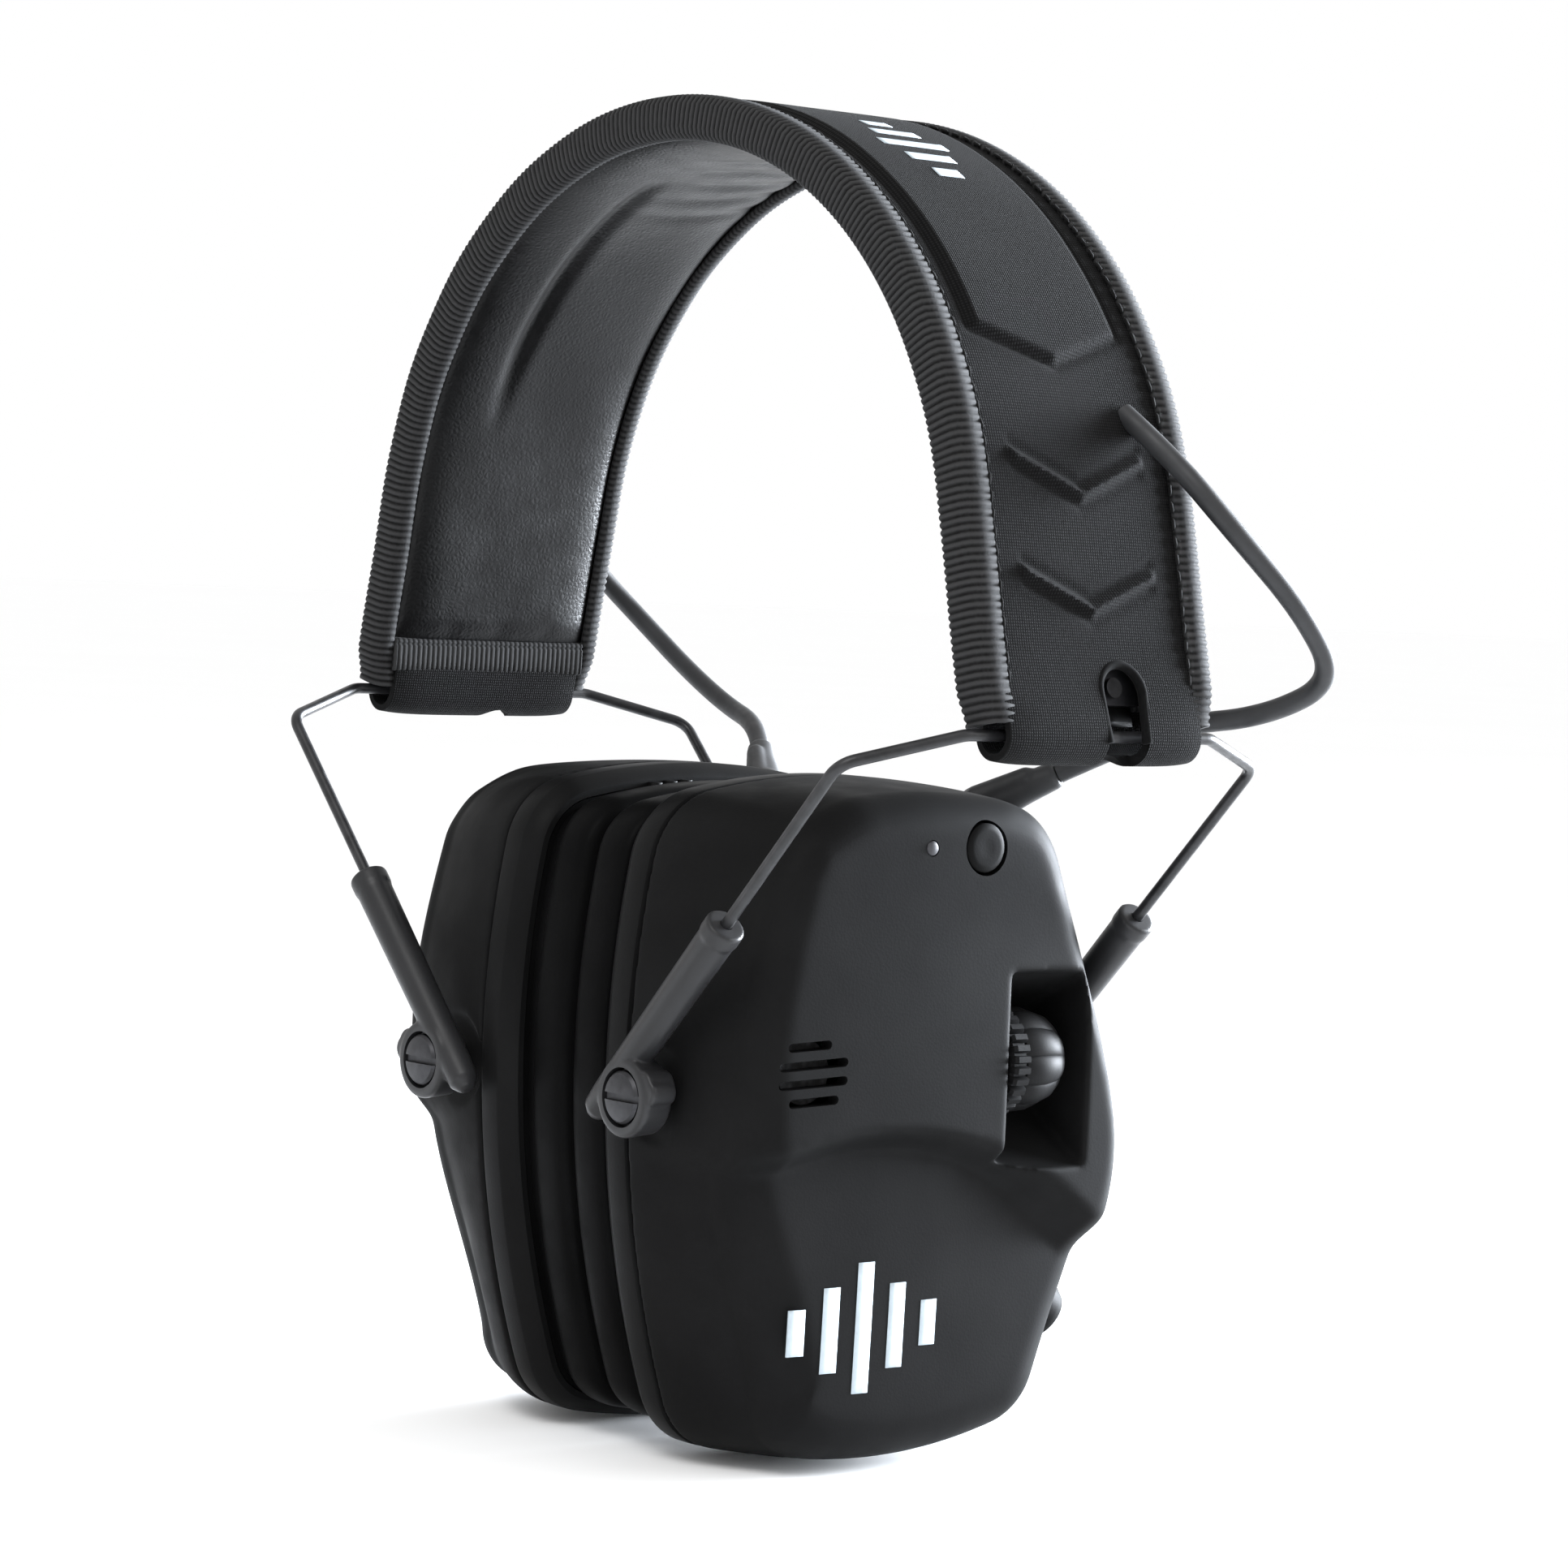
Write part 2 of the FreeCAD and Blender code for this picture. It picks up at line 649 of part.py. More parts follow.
def knob_recess(grow):
    """The pocket in the face round the knob, as large as the knob's clearance plus grow."""
    low_y = RECESS_Y - grow
    high_y = low_y + size("recess_length") + 2 * grow
    well = rod((KNOB_X, low_y, size("knob_z")), (0, 1, 0),
               size("knob_radius") + size("knob_gap") + grow, high_y - low_y)
    mouth = box_between((UPPER_X - size("recess_depth") - grow, low_y,
                         size("knob_z") - size("recess_half") - grow),
                        (UPPER_X + size("face_step"), high_y,
                         size("knob_z") + size("recess_half") + grow))
    return well.fuse(mouth)


def socket_rod(radius, length):
    start = SOCKET_MOUTH - SOCKET_WAY * length
    return Part.makeCylinder(radius, length, start, SOCKET_WAY)


def boot_solid(grow):
    return Part.makeCone(size("boot_radius") + grow, size("boot_tip") + grow,
                         size("boot_length"), BOOT_START, BOOT_WAY)


def screw_solid(grow, facing):
    """Shank and head of one pivot screw."""
    lane, half = size("leg_spacing"), size("boss_half")
    start = size("cup_half_width") - size("screw_reach")
    under_head = lane + half + size("layer_gap")
    shank = rod((size("pivot_x"), start - grow, 0), (0, 1, 0), size("screw_radius") + grow,
                under_head - start + grow)
    head = rod((size("pivot_x"), under_head, 0), (0, 1, 0), size("screw_head_radius"),
               size("screw_head"))
    screw = shank.fuse(head)
    return screw if facing > 0 else screw.mirror(Vector(0, 0, 0), Vector(0, 1, 0))


def make_shell(name, side):
    """Moulded outer casing with a raised upper face, hollow and open towards the rim."""
    wall = size("shell_wall")
    lower = prism(cup_outline(0), SHELL_X, LOWER_X)
    lower = lower.makeFillet(size("lower_round"), list(filter(lies_at(LOWER_X), lower.Edges)))
    upper = prism(cup_outline(size("step_inset")), SHELL_X + wall, UPPER_X)
    upper = upper.makeFillet(size("upper_round"), list(filter(lies_at(UPPER_X), upper.Edges)))
    upper = upper.common(step_blank(SHELL_X, UPPER_X + wall))
    shell = lower.fuse(upper)

    cavity = prism(cup_outline(wall), SHELL_X - wall, INNER_X)
    cavity = cavity.makeFillet(size("lower_round") - wall,
                               list(filter(lies_at(INNER_X), cavity.Edges)))
    for facing in (1, -1):
        start = size("cup_half_width") - size("screw_reach") - size("screw_boss") / 2
        boss = rod((size("pivot_x"), facing * start, 0), (0, facing, 0),
                   size("screw_radius") + size("screw_boss"), size("screw_reach"))
        cavity = cavity.cut(boss)
    if side > 0:
        cavity = cavity.cut(knob_recess(size("recess_wall")))
        gap = size("fit_gap")
        drum = rod((KNOB_X, CONTROL_Y - gap, size("knob_z")), (0, 1, 0),
                   size("control_radius") + gap, size("control_length") + 2 * gap)
        cavity = cavity.fuse(drum)
    microphone = rod((INNER_X - wall, size("microphone_y"), size("knob_z")), (1, 0, 0),
                     size("microphone_radius") + size("fit_gap"), UPPER_X - INNER_X)
    cavity = cavity.fuse(microphone)
    shell = shell.cut(cavity)

    cuts = [boot_solid(0.05)]
    cuts += [screw_solid(0.02, facing) for facing in (1, -1)]
    for row in range(4):
        height = size("knob_z") + (1.5 - row) * size("grille_pitch")
        length = size("grille_length") * (0.72 if row in (0, 3) else 1.0)
        cuts.append(box_between(
            (INNER_X, size("microphone_y") - length / 2, height - size("grille_height") / 2),
            (UPPER_X + wall, size("microphone_y") + length / 2, height + size("grille_height") / 2)))
    if side > 0:
        cuts.append(knob_recess(0))
        cuts.append(rod((KNOB_X, CONTROL_Y, size("knob_z")), (0, 1, 0), size("knob_shaft") + 0.3,
                        size("knob_y")))
        cuts.append(rod((INNER_X - wall, size("button_y"), size("detail_z")), (1, 0, 0),
                        size("button_radius") + size("button_gap"), UPPER_X))
        cuts.append(rod((INNER_X - wall, size("led_y"), size("detail_z")), (1, 0, 0),
                        size("led_radius") + 0.02, UPPER_X))
        cuts.append(socket_rod(size("socket_boss") + size("wire_clearance"),
                               size("socket_length") + size("socket_floor")))
    for cut in cuts:
        shell = shell.cut(cut)
    add_shape(f"{name}_shell", on_side(shell, side))


def make_fasteners(name, side):
    """Both slotted pivot screws, the microphone and the cable's relief boot."""
    screws = []
    for facing in (1, -1):
        screw = screw_solid(0, facing)
        face = size("leg_spacing") + size("boss_half") + size("layer_gap") + size("screw_head")
        reach, depth, half = size("screw_head_radius"), size("screw_slot_depth"), size("screw_slot") / 2
        slot = box_between((size("pivot_x") - reach, face - depth, -half),
                           (size("pivot_x") + reach, face + depth, half))
        if facing < 0:
            slot = slot.mirror(Vector(0, 0, 0), Vector(0, 1, 0))
        screws.append(on_side(screw.cut(slot), side))
    add_shape(f"{name}_pivot_screws", Part.makeCompound(screws))

    start = UPPER_X - size("shell_wall") - size("microphone_depth") - size("fit_gap")
    microphone = doc.addObject("Part::Cylinder", f"{name}_microphone_can")
    bind(microphone, Radius="microphone_radius", Height="microphone_depth")
    low_x = start if side > 0 else -start - size("microphone_depth")
    microphone.Placement = Placement(Vector(low_x, size("microphone_y"), 0),
                                     Rotation(Vector(0, 1, 0), 90))
    microphone.setExpression("Placement.Base.z", "-Sizes.crown_height + Sizes.knob_z")
    microphone.Label = f"{name}_microphone"
    nodes[microphone.Label] = microphone

    boot = boot_solid(0)
    add_shape(f"{name}_strain_relief", on_side(boot, side))


def make_left_controls():
    """Knob, volume control, button, light and audio socket of the left cup."""
    wheel = rod((KNOB_X, size("knob_y"), size("knob_z")), (0, 1, 0), size("knob_radius"),
                size("wheel_length"))
    neck_y = size("knob_y") + size("wheel_length")
    foot = size("knob_radius") - size("dome_step")
    dome = Part.makeCone(foot, foot - size("dome_taper"), size("dome_length"),
                         Vector(KNOB_X, neck_y, size("knob_z")), Vector(0, 1, 0))
    tip = [edge for edge in dome.Edges if edge.BoundBox.YMin > neck_y + size("dome_length") - 0.1]
    dome = dome.makeFillet(size("dome_round"), tip)
    bore = rod((KNOB_X, size("knob_y"), size("knob_z")), (0, 1, 0),
               size("knob_shaft") + size("wire_clearance"), size("dome_length"))
    add_shape("left_knob", wheel.fuse(dome).cut(bore))

    drum = rod((KNOB_X, CONTROL_Y, size("knob_z")), (0, 1, 0), size("control_radius"),
               size("control_length"))
    shaft_length = size("knob_y") + size("dome_length") - 1.0 - CONTROL_Y
    shaft = rod((KNOB_X, CONTROL_Y, size("knob_z")), (0, 1, 0), size("knob_shaft"), shaft_length)
    add_shape("left_volume_control", drum.fuse(shaft))

    button = doc.addObject("Part::Cylinder", "left_button_cap")
    bind(button, Radius="button_radius", Height="button_length")
    button.Placement = Placement(
        Vector(UPPER_X + size("button_stand") - size("button_length"), size("button_y"), 0),
        Rotation(Vector(0, 1, 0), 90))
    button.setExpression("Placement.Base.z", "-Sizes.crown_height + Sizes.detail_z")
    button.Label = "left_button"
    nodes[button.Label] = button

    light = rod((INNER_X, size("led_y"), size("detail_z")), (1, 0, 0), size("led_radius"),
                UPPER_X + 0.1 - INNER_X)
    add_shape("left_light", light)

    boss = socket_rod(size("socket_boss"), size("socket_length") + size("socket_floor"))
    socket = boss.cut(socket_rod(size("socket_radius"), size("socket_length")))
    add_shape("left_audio_socket", socket)


def make_battery():
    """Battery pack of the right cup, held between the circuit board and the shell."""
    low = BOARD_X + size("board_thickness") + size("fit_gap")
    high = INNER_X - size("fit_gap")
    width, height = size("battery_width"), size("battery_height")
    pack = box_between((low, -width / 2, -height / 2), (high, width / 2, height / 2))
    pack = pack.makeFillet(size("battery_round"), [edge for edge in pack.Edges
                                                  if edge.BoundBox.ZLength > height - 1e-3])
    add_shape("right_battery_pack", on_side(pack, -1))


def make_cable(name, side):
    solid, radii, length = tube(cable_points(side), size("cable_radius"))
    add_shape(f"cable_{name}", solid)
    print(f"cable_{name}: length {length:.1f}, radii {[round(radius, 1) for radius in radii]}")


make_band()
make_rivets()
for name, side in (("left", 1), ("right", -1)):
    make_band_end(name, side)
    make_wire(name, side)
    make_arm(f"{name}_arm_front", side, -1)
    make_arm(f"{name}_arm_back", side, 1)
    make_layers(name, side)
    make_inner_parts(name, side)
    make_shell(name, side)
    make_fasteners(name, side)
    make_cable(name, side)
make_left_controls()
make_battery()

doc.recompute()
for item in doc.Objects:
    if "Invalid" in item.State or "Error" in item.State:
        raise ValueError(f"{item.Label} did not compute")
for node, item in nodes.items():
    if item.Shape.isNull() or not item.Shape.isValid():
        raise ValueError(f"{node} has no valid shape")

os.makedirs("parts", exist_ok=True)
for node, item in nodes.items():
    item.Shape.exportStep(os.path.join("parts", f"{node}.step"))
print(f"{len(nodes)} sub-parts written")
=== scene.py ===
import json
import math
import random

import bmesh
import bpy
import numpy as np
from mathutils import Matrix, Vector


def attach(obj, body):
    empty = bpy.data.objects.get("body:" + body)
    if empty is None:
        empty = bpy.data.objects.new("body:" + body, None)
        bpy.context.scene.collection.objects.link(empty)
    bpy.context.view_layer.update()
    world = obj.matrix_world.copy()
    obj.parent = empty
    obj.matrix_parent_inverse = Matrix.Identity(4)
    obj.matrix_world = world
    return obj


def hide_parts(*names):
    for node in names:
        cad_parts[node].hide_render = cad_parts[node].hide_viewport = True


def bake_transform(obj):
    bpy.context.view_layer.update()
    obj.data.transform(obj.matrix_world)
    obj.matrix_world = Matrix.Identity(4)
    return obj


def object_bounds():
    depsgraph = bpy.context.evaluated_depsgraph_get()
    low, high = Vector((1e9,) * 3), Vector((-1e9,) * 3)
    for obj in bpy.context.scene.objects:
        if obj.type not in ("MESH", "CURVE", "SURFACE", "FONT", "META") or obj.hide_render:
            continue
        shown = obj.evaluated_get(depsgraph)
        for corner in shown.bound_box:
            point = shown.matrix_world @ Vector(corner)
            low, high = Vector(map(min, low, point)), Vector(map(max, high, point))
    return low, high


# Looks of an electronic earmuff. Sizes are in millimetres; heights count from the cup pivots,
# as in the part's own source, until put() moves them into the row frame, in metres.

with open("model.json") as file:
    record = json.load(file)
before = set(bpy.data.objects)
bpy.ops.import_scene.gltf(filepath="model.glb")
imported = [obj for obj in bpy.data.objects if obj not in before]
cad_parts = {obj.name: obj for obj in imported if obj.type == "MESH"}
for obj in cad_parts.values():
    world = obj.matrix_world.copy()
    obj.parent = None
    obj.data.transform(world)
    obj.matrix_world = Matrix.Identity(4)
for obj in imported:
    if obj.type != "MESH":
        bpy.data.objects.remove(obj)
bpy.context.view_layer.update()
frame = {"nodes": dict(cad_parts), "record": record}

MM = 0.001
CROWN = 144.0                                  # pivots to the crown
SIDES = (("left", 1), ("right", -1))

# headband
ARC = 72.0                                     # radius of the strap's middle line
FLARE = math.radians(12)
ARC_HALF = ARC * (math.pi / 2 - FLARE)         # along the strap, from the crown to the arc's end
BAR_STATION = ARC_HALF + 35.1
BAND_CENTRE = CROWN + 4.0 - ARC
HALF_BAND = 23.0
COVER_FACE = 3.0                               # outwards from the middle line
ROLL = 4.2                                     # outer radius of the fabric round the wire bar
SLOT_Y, SLOT_HALF = 4.0, 3.8                   # the keyhole above the wire bar
SLOT_TOP = BAR_STATION - 6.0

# cup layers of the left cup, along X
CUSHION_X, PLATE_X, RIM_X, SHELL_X = 0.3, 9.5, 13.4, 19.2
LOWER_X, STEP = 42.0, 5.0
KNOB_X, KNOB_Y, KNOB_Z = 39.5, 15.6, 5.0
PIVOT_X, LANE = 26.2, 41.0
LEAN = math.radians(44)
LEG_DOWN = np.array([-math.sin(LEAN), 0, -math.cos(LEAN)])
FRONT_WIDEST, BACK_WIDEST = 4.0, -9.0          # height of each side's widest place
SHELL_WALL = 2.4
CONTROL_Z, BUTTON_Y, LIGHT_Y = 38.3, 8.5, -2.4
SOCKET_MOUTH = np.array([29.0, 40.0, -38.2])
SOCKET_WAY = np.array([0, 0.77, -0.64]) / math.hypot(0.77, 0.64)


def band_point(station, y, offset):
    """Place on the strap: along it from the crown, across it, and outwards."""
    turn = abs(station) / ARC
    limit = math.pi / 2 - FLARE
    sign = math.copysign(1, station)
    angle = min(turn, limit)
    out = np.array([math.sin(angle), math.cos(angle)])
    along = np.array([math.cos(angle), -math.sin(angle)])
    x, z = out * (ARC + offset) + along * max(0.0, abs(station) - ARC_HALF)
    return (sign * x, y, BAND_CENTRE + z)


BAR_X, _, BAR_Z = band_point(BAR_STATION, 0, 0)
LEG_TOP = np.array([BAR_X - 7.5, LANE, BAR_Z - 4.7])


# ---------------------------------------------------------------- meshes

def put(points):
    """Millimetres above the pivots to metres in the row frame."""
    points = np.array(points, float).reshape(-1, 3)
    points[:, 2] -= CROWN
    return points * MM


def new_object(name, points, faces, material=None, uv=None):
    mesh = bpy.data.meshes.new(name)
    mesh.from_pydata(put(points).tolist(), [], faces)
    work = bmesh.new()
    work.from_mesh(mesh)
    bmesh.ops.recalc_face_normals(work, faces=work.faces)
    work.to_mesh(mesh)
    work.free()
    if uv is not None:
        layer = mesh.uv_layers.new(name="across")
        for loop in mesh.loops:
            layer.data[loop.index].uv = uv[loop.vertex_index]
    mesh.shade_smooth()
    piece = bpy.data.objects.new(name, mesh)
    bpy.context.scene.collection.objects.link(piece)
    if material:
        mesh.materials.append(material)
    return piece


def quads(rows, columns, wrap_rows=False, wrap_columns=False):
    faces = []
    for r in range(rows if wrap_rows else rows - 1):
        for c in range(columns if wrap_columns else columns - 1):
            below, beside = (r + 1) % rows, (c + 1) % columns
            faces.append((r * columns + c, r * columns + beside,
                          below * columns + beside, below * columns + c))
    return faces


def slab(rows, columns):
    """Faces of a closed slab: two grids of points, one after the other, and the strip between."""
    top, base = quads(rows, columns), rows * columns
    border = list(range(columns)) + [r * columns + columns - 1 for r in range(1, rows)]
    border += [base - c for c in range(2, columns + 1)]
    border += [r * columns for r in range(rows - 2, 0, -1)]
    return (top + [tuple(base + i for i in face) for face in top]
            + [(a, b, base + b, base + a) for a, b in zip(border, border[1:] + border[:1])])


def capped(rings, name, material=None, uv=None):
    """Closed skin through a list of rings of points, with a flat cap at each end."""
    rings = np.array(rings, float)
    count, around = rings.shape[:2]
    faces = quads(count, around, wrap_columns=True)
    faces += [tuple(range(around)), tuple(range((count - 1) * around, count * around))]
    return new_object(name, rings.reshape(-1, 3), faces, material, uv)


def apply_modifiers(piece):
    depsgraph = bpy.context.evaluated_depsgraph_get()
    mesh = bpy.data.meshes.new_from_object(piece.evaluated_get(depsgraph))
    old = piece.data
    piece.modifiers.clear()
    piece.data = mesh
    bpy.data.meshes.remove(old)
    piece.data.shade_smooth()
    return piece


def boolean(piece, others, operation="DIFFERENCE"):
    for other in others:
        step = piece.modifiers.new("cut", "BOOLEAN")
        step.operation = operation
        step.solver = "MANIFOLD"
        step.object = other
    apply_modifiers(piece)
    for other in others:
        bpy.data.objects.remove(other)
    return piece


def melt(piece, voxel, passes=6):
    """Joins what overlaps into one skin with softened edges."""
    step = piece.modifiers.new("melt", "REMESH")
    step.mode = "VOXEL"
    step.voxel_size = voxel * MM
    apply_modifiers(piece)
    step = piece.modifiers.new("soften", "SMOOTH")
    step.factor = 0.5
    step.iterations = passes
    return apply_modifiers(piece)


def join(pieces, name):
    first = pieces[0]
    with bpy.context.temp_override(active_object=first, selected_editable_objects=pieces):
        bpy.ops.object.join()
    first.name = name
    return first


def sharp_edges(piece, degrees=35):
    piece.data.set_sharp_from_angle(angle=math.radians(degrees))
    return piece


def prism_along(points, axis, low, high):
    """A closed outline of (a, b) points, extruded between two places along an axis."""
    rings = [[(place, a, b) if axis == "x" else (a, place, b) for a, b in points]
             for place in (low, high)]
    return capped(rings, "cutter")


def turned(profile, centre, way, name, material=None, around=64, ripple=None):
    """Solid of revolution: (distance along way, radius) pairs about an axis through centre."""
    way = Vector(way).normalized()
    side = way.orthogonal().normalized()
    other = way.cross(side)
    rings = []
    for along, radius in profile:
        ring = []
        for i in range(around):
            angle = 2 * math.pi * i / around
            reach = radius + (ripple(along, angle) if ripple else 0.0)
            spot = Vector(centre) + way * along + (side * math.cos(angle)
                                                   + other * math.sin(angle)) * reach
            ring.append(tuple(spot))
        rings.append(ring)
    return capped(rings, name, material)


def mirror_piece(piece, side):
    if side < 0:
        piece.data.transform(Matrix.Diagonal((-1, 1, 1, 1)))
        piece.data.flip_normals()
    return piece


def settle(piece, body, slot, *nodes, padded=None):
    """Puts a piece on the body that it rides on and hides the nodes that it stands for; the slot
    argument is not used.
    """
    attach(piece, body)
    if nodes:
        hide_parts(*nodes)
    return piece


# ---------------------------------------------------------------- materials

def ramp(value, low, high):
    value = min(max((value - low) / (high - low), 0.0), 1.0)
    return value * value * (3 - 2 * value)


class Finish:
    """Builds one node material round a Principled shader."""

    def __init__(self, name, colour, roughness, metallic=0.0, **sockets):
        self.material = bpy.data.materials.new(name)
        self.material.use_nodes = True
        self.tree = self.material.node_tree
        self.shader = self.tree.nodes["Principled BSDF"]
        self.colour = colour
        self.shader.inputs["Base Color"].default_value = (*colour, 1)
        self.shader.inputs["Roughness"].default_value = roughness
        self.shader.inputs["Metallic"].default_value = metallic
        for key, value in sockets.items():
            self.shader.inputs[key.replace("_", " ")].default_value = value
        self.bumps = []
        self.place = self.node("ShaderNodeTexCoord").outputs["Object"]

    def node(self, kind, **values):
        made = self.tree.nodes.new(kind)
        for key, value in values.items():
            if hasattr(made, key):
                setattr(made, key, value)
            else:
                made.inputs[key.replace("_", " ")].default_value = value
        return made

    def link(self, out, into):
        self.tree.links.new(out, into)

    def noise(self, scale, detail=3.0, stretch=None):
        made = self.node("ShaderNodeTexNoise", Scale=scale, Detail=detail)
        source = self.place
        if stretch:
            mapping = self.node("ShaderNodeMapping")
            mapping.inputs["Scale"].default_value = stretch
            self.link(source, mapping.inputs["Vector"])
            source = mapping.outputs["Vector"]
        self.link(source, made.inputs["Vector"])
        return made.outputs["Fac"]

    def cells(self, scale, feature="DISTANCE_TO_EDGE"):
        made = self.node("ShaderNodeTexVoronoi", feature=feature, Scale=scale)
        self.link(self.place, made.inputs["Vector"])
        return made.outputs["Distance"]

    def wave(self, pitch, direction, place):
        """Bands a pitch apart, in the place's own units."""
        made = self.node("ShaderNodeTexWave", bands_direction=direction, Distortion=0.0,
                         Scale=2 * math.pi / (20 * pitch))
        self.link(place, made.inputs["Vector"])
        return made.outputs["Fac"]

    def across(self):
        return self.node("ShaderNodeUVMap", uv_map="across").outputs["UV"]

    def math(self, operation, first, second):
        made = self.node("ShaderNodeMath", operation=operation)
        for socket, value in zip(made.inputs, (first, second)):
            if isinstance(value, (int, float)):
                socket.default_value = value
            else:
                self.link(value, socket)
        return made.outputs[0]

    def spread(self, source, low, high, start=0.3, stop=0.7):
        made = self.node("ShaderNodeMapRange")
        self.link(source, made.inputs["Value"])
        limits = {"From Min": start, "From Max": stop, "To Min": low, "To Max": high}
        for key, value in limits.items():
            made.inputs[key].default_value = value
        return made.outputs["Result"]

    def tint(self, source, dark, light, start=0.3, stop=0.7):
        """Base colour between two shades of the finish, by a pattern."""
        made = self.node("ShaderNodeMix", data_type="RGBA")
        self.link(self.spread(source, 0.0, 1.0, start, stop), made.inputs["Factor"])
        made.inputs["A"].default_value = (*(channel * dark for channel in self.colour), 1)
        made.inputs["B"].default_value = (*(channel * light for channel in self.colour), 1)
        self.link(made.outputs["Result"], self.shader.inputs["Base Color"])
        return self

    def rough(self, source, low, high):
        self.link(self.spread(source, low, high), self.shader.inputs["Roughness"])
        return self

    def bump(self, source, strength, distance):
        made = self.node("ShaderNodeBump", Strength=strength, Distance=distance * MM)
        self.link(source, made.inputs["Height"])
        if self.bumps:
            self.link(self.bumps[-1].outputs["Normal"], made.inputs["Normal"])
        self.bumps.append(made)
        self.link(made.outputs["Normal"], self.shader.inputs["Normal"])
        return self


def moulded(name, colour, low, high, grain=2600, strength=0.16, gloss=0.2):
    finish = Finish(name, colour, (low + high) / 2, Specular_IOR_Level=gloss)
    finish.tint(finish.noise(60), 0.85, 1.2)
    finish.rough(finish.noise(140, 5), low, high)
    finish.bump(finish.cells(grain, "F1"), strength, 0.05)
    return finish.bump(finish.noise(45), 0.10, 0.25).material


KNIT_PITCH = math.pi / 7.2                     # of the stitches in the cover
RIB_PITCH = 1.12                               # of the woven tape


def make_knit():
    finish = Finish("knit_fabric", (0.0046, 0.0046, 0.0047), 0.86, Sheen_Weight=0.015,
                    Sheen_Roughness=0.45, Specular_IOR_Level=0.06)
    place = finish.across()
    wale = finish.wave(KNIT_PITCH / 10, "X", place)
    course = finish.wave(KNIT_PITCH / 10, "Y", place)
    weave = finish.math("MULTIPLY", wale, course)
    fuzz = finish.noise(1500, 4)
    finish.tint(finish.math("ADD", weave, finish.math("MULTIPLY", fuzz, 0.6)), 0.55, 2.1, 0.2, 1.1)
    finish.bump(weave, 0.55, 0.16)
    return finish.bump(fuzz, 0.25, 0.08).material


def make_grosgrain():
    finish = Finish("grosgrain", (0.0150, 0.0150, 0.0153), 0.75, Sheen_Weight=0.02,
                    Sheen_Roughness=0.4, Specular_IOR_Level=0.07)
    threads = finish.noise(900, 3, stretch=(1, 3, 1))
    ribs = finish.wave(RIB_PITCH / 10, "X", finish.across())
    both = finish.math("ADD", ribs, finish.math("MULTIPLY", threads, 0.5))
    finish.tint(both, 0.3, 2.0, 0.15, 1.1)
    return finish.bump(threads, 0.4, 0.1).material


def make_leatherette():
    finish = Finish("leatherette", (0.0030, 0.0030, 0.0032), 0.36, Specular_IOR_Level=0.15)
    grain = finish.cells(1150)
    finish.tint(finish.noise(90, 4), 0.8, 1.25)
    finish.rough(finish.noise(220, 4), 0.30, 0.40)
    finish.bump(grain, 0.50, 0.14)
    return finish.bump(finish.noise(420, 3), 0.30, 0.14).material


def make_cushion_skin():
    finish = Finish("cushion_skin", (0.0030, 0.0030, 0.0031), 0.42, Specular_IOR_Level=0.02)
    finish.tint(finish.noise(70, 4), 0.8, 1.3)
    finish.rough(finish.noise(180, 4), 0.34, 0.5)
    finish.bump(finish.cells(1400), 0.18, 0.06)
    return finish.bump(finish.noise(260, 2), 0.15, 0.12).material


def make_wire():
    finish = Finish("black_wire", (0.012, 0.012, 0.013), 0.36, 0.2, Specular_IOR_Level=0.4)
    finish.tint(finish.noise(400, 5), 0.7, 1.8)
    finish.rough(finish.noise(600, 4), 0.28, 0.45)
    return finish.bump(finish.noise(900, 3, stretch=(1, 1, 0.3)), 0.12, 0.04).material


def make_rubber(name, colour):
    finish = Finish(name, colour, 0.5, Specular_IOR_Level=0.3)
    finish.tint(finish.noise(150, 4), 0.85, 1.25)
    finish.rough(finish.noise(350, 4), 0.42, 0.6)
    return finish.bump(finish.noise(1400, 3), 0.15, 0.05).material


def make_metal(name, colour, roughness):
    finish = Finish(name, colour, roughness, 1.0, Specular_IOR_Level=0.2)
    finish.tint(finish.noise(500, 4), 0.75, 1.15)
    return finish.bump(finish.noise(1200, 2, stretch=(1, 0.1, 1)), 0.2, 0.03).material


def make_foam():
    finish = Finish("foam", (0.02, 0.02, 0.021), 0.95)
    cells = finish.cells(900, "F1")
    finish.tint(cells, 2.0, 0.4, 0.0, 0.6)
    return finish.bump(cells, 0.8, 0.4).material


def make_print():
    finish = Finish("printed_mark", (0.42, 0.48, 0.52), 0.55, Specular_IOR_Level=0.1)
    finish.tint(finish.noise(500, 3), 0.92, 1.05)
    return finish.bump(finish.noise(1500, 2), 0.08, 0.02).material


def make_board():
    finish = Finish("board", (0.015, 0.11, 0.05), 0.35, Coat_Weight=0.4)
    tracks = finish.cells(160, "DISTANCE_TO_EDGE")
    return finish.tint(tracks, 1.9, 0.8, 0.0, 0.12).bump(tracks, 0.3, 0.05).material


def make_lens():
    finish = Finish("light_lens", (0.05, 0.05, 0.055), 0.5, Specular_IOR_Level=0.2)
    return finish.tint(finish.noise(900, 2), 0.7, 1.2).material


